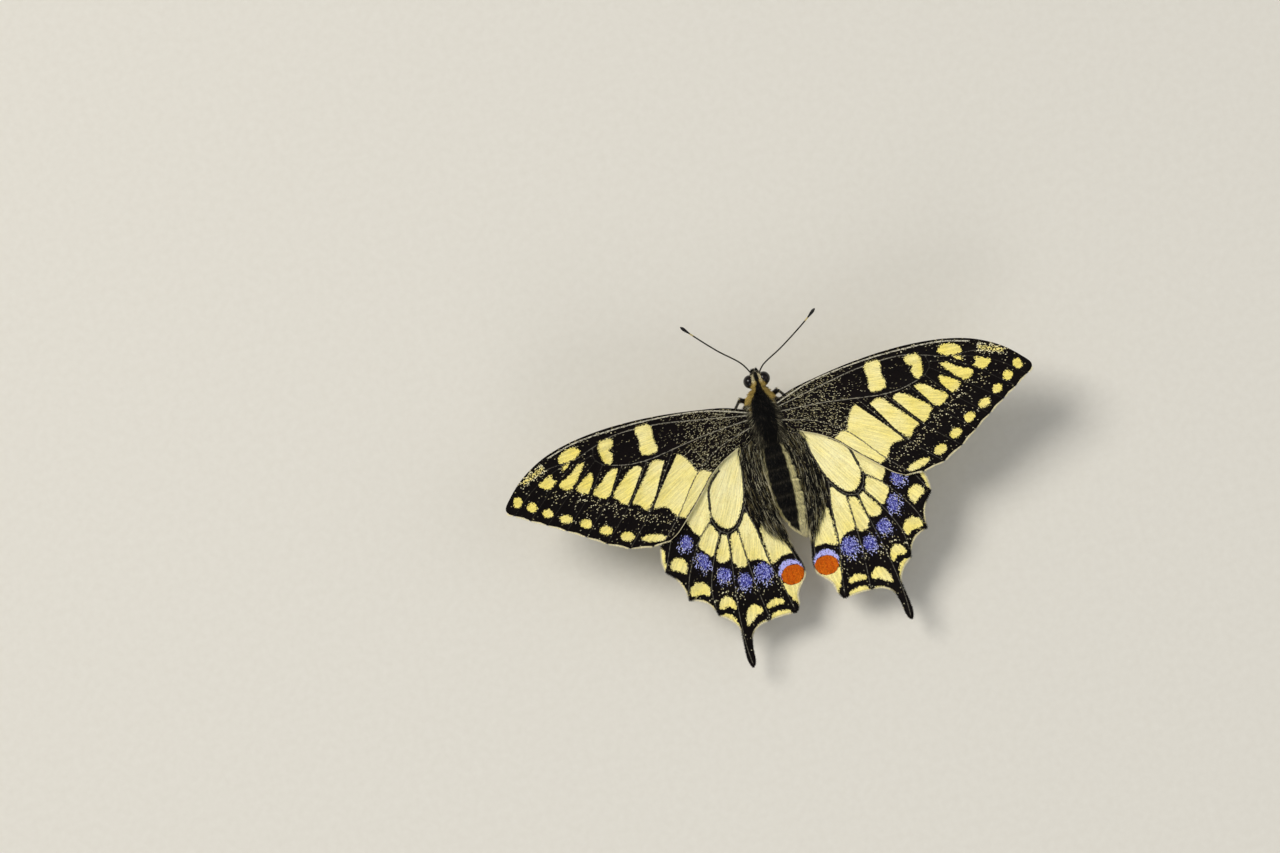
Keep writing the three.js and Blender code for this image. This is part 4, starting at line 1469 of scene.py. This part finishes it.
def proboscisPiece():
    t = np.linspace(0, 1, coil["points"])
    angle = math.pi / 2 + t * coil["turns"] * 2 * math.pi
    reach = coil["outer"] + (coil["inner"] - coil["outer"]) * t**0.9
    spiral = np.stack([0 * t + body["headX"], coil["y"] - reach * np.cos(angle),
                       coil["z"] + reach * np.sin(angle)], axis=1)
    stem = np.array([(body["headX"], coil["y"] + y, z) for y, z in coil["stem"]])
    path = np.vstack([stem, spiral])
    girth = np.interp(np.linspace(0, 1, len(path)), [0, 1], coil["girths"])
    points, faces, along, _ = tube(path, girth)
    fields = {"pale": 0.1 * (np.sin(along * 40) > 0)}
    piece = makePiece("proboscis_coil", placed(points), faces, [feelerFinish], "antenna", fields)
    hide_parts("proboscis")


sole = 0.155  # height of a foot's middle over the floor
legs = {  # hip in the specimen's frame, then knee, ankle, heel and toe over the floor
    "foreleg": [(0.9, 1.9, -3.0), (3.0, 3.1, 10.0), (4.5, 1.7, 4.0), (6.6, 1.5, sole),
                (8.4, 1.8, sole)],
    "midleg": [(1.1, 0.1, -3.3), (5.6, -0.4, 9.3), (8.6, -1.5, 3.0), (11.0, -2.5, sole),
               (12.7, -3.1, sole)],
    "hindleg": [(1.0, -1.9, -3.2), (4.9, -5.4, 8.2), (6.6, -9.6, 2.8), (7.8, -12.8, sole),
                (8.5, -14.6, sole)],
}
legLook = {
    "thigh": (0.3, 0.42, 0.44, 0.34, 0.24),  # girths along it
    "shin": (0.24, 0.2, 0.22, 0.2, 0.18),
    "bow": 0.12,  # of the thigh outwards and up
    "foot": 0.13,
    "footJoints": 5,
    "flare": (0.8, 0.75, 0.85, 1.1, 1.0),  # along each joint of the foot
    "claw": (0.045, 0.035, 0.012),
    "spur": (0.05, 0.045, 0.01),
}


def legStops(row, sign):
    hip, *others = [np.array([body["thoraxX"] + sign * x, y, z]) for x, y, z in legs[row]]
    return [pitched(hip), *others]


def strut(start, end, girths, bow=(0, 0, 0)):
    t = np.linspace(0, 1, 18)
    path = start + (end - start) * t[:, None] + np.array(bow) * np.sin(math.pi * t)[:, None]
    girth = np.interp(t * (len(girths) - 1), range(len(girths)), girths)
    cap = np.sqrt(np.clip(np.minimum(t, 1 - t) / 0.05, 0.05, 1))
    return tube(path, girth * cap)


def legPiece(row, side, sign):
    hip, knee, ankle, heel, toe = legStops(row, sign)
    bow = np.array([sign * legLook["bow"], 0, legLook["bow"]])
    parts = [strut(hip, knee, legLook["thigh"], bow), strut(knee, ankle, legLook["shin"], bow * 0.8)]
    foot = curved([ankle, ankle + (heel - ankle) * 0.85, heel + (toe - heel) * 0.15, toe])
    cuts = np.linspace(0, len(foot) - 1, legLook["footJoints"] + 1)
    stops = [foot[round(cut)] for cut in cuts]
    girths = [g * legLook["foot"] for g in legLook["flare"]]
    parts += [strut(a, b, girths) for a, b in zip(stops, stops[1:])]
    ahead = normal(toe - heel)
    beside = normal(np.cross(ahead, [0, 0, 1.0]))
    for turn in (1, -1):
        start = toe - ahead * 0.1 + beside * turn * 0.05
        end = toe + ahead * 0.16 + beside * turn * 0.14 - [0, 0, sole - 0.03]
        parts.append(strut(start, end, legLook["claw"], [0, 0, 0.05]))
    shinWay = normal(ankle - knee)
    spur = ankle - shinWay * 0.2
    for turn in (1, -1):
        parts.append(strut(spur, spur + shinWay * 0.55 + beside * turn * 0.26, legLook["spur"]))
    points, faces, turns = joined(parts)
    pale = 0.35 * (np.sin(turns - 1.0) > 0.55)
    piece = makePiece(f"{row}_limb_{side}", grounded(points), faces, [legFinish], "leg", {"pale": pale})
    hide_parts(f"{row}_{side}")


legHair = [  # on the thigh, the shin and the foot
    {"count": 520, "length": (0.3, 0.6), "lift": (14, 34), "girth": 0.36, "pale": 0.8, "bow": 1},
    {"count": 300, "length": (0.16, 0.3), "lift": (16, 45), "girth": 0.2, "pale": 0.3, "bow": 1},
    {"count": 110, "length": (0.1, 0.2), "lift": (30, 60), "girth": 0.12, "pale": 0.3, "bow": 0},
]
legHairWidth = (0.012, 0.024)
legHairCurl = 0.1


def legCoat(row, side, sign):
    stops = legStops(row, sign)
    parts = []
    for part, (start, end, look) in enumerate(zip(stops, stops[1:], legHair)):
        count = look["count"]
        at = chance.uniform(0.04, 0.96, (count, 1))
        way = np.tile(normal(end - start), (count, 1))
        out = normal(np.cross(way, chance.normal(size=(count, 3))))
        if start is stops[2]:
            out *= np.where(out[:, 2:] < 0, -1, 1)  # none under the foot
        bow = np.array([sign * legLook["bow"], 0, legLook["bow"]]) * np.sin(math.pi * at) * look["bow"]
        roots = start + (end - start) * at + bow + out * look["girth"] * 0.9
        under = smoothstep(-out[:, 2], -0.2, 0.6) * look["pale"]
        parts.append((roots, out, way, chance.uniform(*look["length"], count),
                      np.radians(chance.uniform(*look["lift"], count)), under,
                      np.column_stack([(part + at[:, 0]) / 3, 0.5 + 0.4 * out[:, 0]])))
    roots, out, way, length, lift, under, home = [np.concatenate(values) for values in zip(*parts)]
    count = len(roots)
    fields = {
        "ochre": 0.3 * under, "cream": 0.5 * under, "olive": 0.5 * under, "grey": 0.3 * (under > 0.2),
        "shade": chance.uniform(0.6, 1.3, count),
    }
    tufts(f"{row}_hair_{side}", roots, out, way, length, chance.uniform(*legHairWidth, count), lift,
          legHairCurl, fields, 0.02 + 0.96 * home, "leg", grounded)


darkEye = eyeFinish()
feelerFinish = hornFinish("feeler", paint(12, 10, 11), paint(206, 186, 120), 0.42)
legFinish = hornFinish("leg", paint(24, 18, 15), paint(150, 126, 66), 0.24)
proboscisPiece()
for side, sign in mirror.items():
    eyePiece(side, sign)
    antennaPiece(side)
    for row in legs:
        legPiece(row, side, sign)
        legCoat(row, side, sign)

camera.data.dof.use_dof = False
